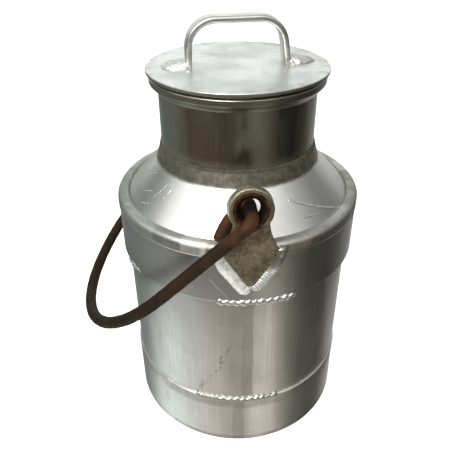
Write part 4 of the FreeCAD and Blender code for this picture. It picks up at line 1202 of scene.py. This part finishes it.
def studio_world():
    """The light around the can, as soft bands of sky, walls and ground.

    Each band is a ramp over the direction's azimuth, from straight behind through the front
    (-Y) and round again; the three bands are mixed by the direction's elevation."""
    world = bpy.data.worlds.new("studio")
    bpy.context.scene.world = world
    world.use_nodes = True
    tree = world.node_tree
    tree.nodes.clear()

    def node(kind, inputs=None, **settings):
        return add_node(tree, kind, inputs, **settings)

    def ramp(value, stops):
        made = node("ShaderNodeValToRGB", {"Fac": value})
        made.color_ramp.interpolation = "EASE"
        elements = made.color_ramp.elements
        while len(elements) < len(stops):
            elements.new(0.5)
        for element, (position, colour) in zip(elements, stops):
            element.position = position
            element.color = (*colour, 1)
        return made.outputs["Color"]

    def by_azimuth(stops):
        return ramp(azimuth, [((degrees + 180) / 360, tuple(level * t for t in tint))
                              for degrees, level, tint in stops])

    def mix(share, one, two):
        return node("ShaderNodeMix", {0: share, 6: one, 7: two}, data_type="RGBA").outputs[2]

    way = node("ShaderNodeTexCoord").outputs["Generated"]
    split = node("ShaderNodeSeparateXYZ", {"Vector": way})
    x, y, z = split.outputs
    back = node("ShaderNodeMath", {0: y, 1: -1.0}, operation="MULTIPLY").outputs[0]
    angle = node("ShaderNodeMath", {0: x, 1: back}, operation="ARCTAN2").outputs[0]
    azimuth = node("ShaderNodeMapRange", {
        "Value": angle, "From Min": -math.pi, "From Max": math.pi}).outputs[0]
    up = node("ShaderNodeMath", {0: z}, operation="ARCSINE").outputs[0]

    def rising(start, end):
        return node("ShaderNodeMapRange", {
            "Value": up, "From Min": math.radians(start), "From Max": math.radians(end)},
            interpolation_type="SMOOTHSTEP").outputs[0]

    grey, warm, green, olive = (1, 1, 0.97), (1, 0.92, 0.82), (0.92, 1, 0.95), (1, 0.95, 0.78)
    ground = by_azimuth([
        (-180, 0.70, grey), (-145, 0.16, green), (-125, 0.28, green), (-105, 0.95, green),
        (-88, 1.15, green), (-60, 0.74, grey), (-30, 0.60, warm), (-8, 0.42, warm), (6, 0.38, warm),
        (20, 0.95, warm), (34, 0.95, warm), (50, 0.26, olive), (70, 0.08, olive), (110, 0.05, olive),
        (135, 0.55, grey), (158, 1.0, grey), (180, 0.70, grey)])
    far_ground = by_azimuth([
        (-180, 0.40, grey), (-140, 0.15, green), (-118, 0.19, green), (-80, 0.13, olive),
        (-20, 0.065, olive), (0, 0.09, olive), (26, 0.15, olive), (55, 0.04, olive), (100, 0.03, olive),
        (125, 0.18, grey), (150, 0.60, grey), (180, 0.40, grey)])
    walls = by_azimuth([
        (-180, 1.25, grey), (-150, 0.80, grey), (-128, 0.17, green), (-104, 0.20, green),
        (-70, 0.25, grey), (-20, 0.12, olive), (30, 0.12, olive), (70, 0.16, grey), (95, 0.10, grey),
        (118, 0.22, grey), (140, 0.72, grey), (160, 1.05, grey), (180, 1.25, grey)])
    sky = by_azimuth([
        (-180, 0.60, grey), (-125, 0.40, green), (-102, 0.85, grey), (-84, 1.6, grey), (-10, 1.5, grey),
        (36, 1.45, grey), (58, 0.80, grey), (92, 0.36, grey), (130, 0.50, grey), (180, 0.60, grey)])
    lower = mix(rising(-45.5, -37.5), ground, far_ground)
    middle = mix(rising(-12, 4), lower, walls)
    colour = mix(rising(18, 36), middle, sky)
    background = node("ShaderNodeBackground", {"Color": colour, "Strength": 1.0})
    node("ShaderNodeOutputWorld", {"Surface": background.outputs[0]})


def softbox(name, place, aim, size, power):
    """A square area light at a place, turned to face its aim point."""
    light = bpy.data.lights.new(name, "AREA")
    light.shape = "SQUARE"
    light.size = size
    light.energy = power
    lamp = bpy.data.objects.new(name, light)
    bpy.context.scene.collection.objects.link(lamp)
    lamp.location = place
    way = np.array(aim) - np.array(place)
    lamp.rotation_euler = (math.atan2(math.hypot(way[0], way[1]), -way[2]), 0.0,
                           math.atan2(-way[0], way[1]))


def main_camera():
    """The camera looks down at the can from a little left of its front.

    Its axes come from yaw, pitch and roll: forward = (sin yaw cos pitch, cos yaw cos pitch,
    -sin pitch), right is level, up completes them, and roll turns right and up about forward.
    All of it is then turned about Z to stand a little to the left of the front lug."""
    yaw, pitch, roll, stand = -0.0264521, 0.5708433, -0.0090216, -math.radians(5.7)
    distance, height = 0.4508136, 0.4837636
    forward = np.array([math.sin(yaw) * math.cos(pitch), math.cos(yaw) * math.cos(pitch), -math.sin(pitch)])
    right = np.array([math.cos(yaw), -math.sin(yaw), 0.0])
    up = np.cross(right, forward)
    level = right * math.cos(roll) + up * math.sin(roll)
    lift = up * math.cos(roll) - right * math.sin(roll)
    c, s = math.cos(stand), math.sin(stand)
    about = np.array([[c, -s, 0], [s, c, 0], [0, 0, 1]])
    matrix = np.eye(4)
    matrix[:3, :3] = about @ np.stack([level, lift, -forward], 1)
    matrix[:3, 3] = about @ np.array([0, -distance, height])
    lens = bpy.data.cameras.new("camera")
    lens.sensor_width = 36.0
    lens.lens = 42.16
    lens.clip_start = 0.01
    camera = bpy.data.objects.new("camera", lens)
    bpy.context.scene.collection.objects.link(camera)
    camera.matrix_world = Matrix(matrix.tolist())
    bpy.context.scene.camera = camera


pale_floor()
pale_backdrop()
studio_world()
softbox("key_softbox", (-0.45, -0.75, 1.05), (0, 0, 0.2), 0.5, 9.0)
main_camera()
bpy.context.scene.view_settings.view_transform = "Standard"
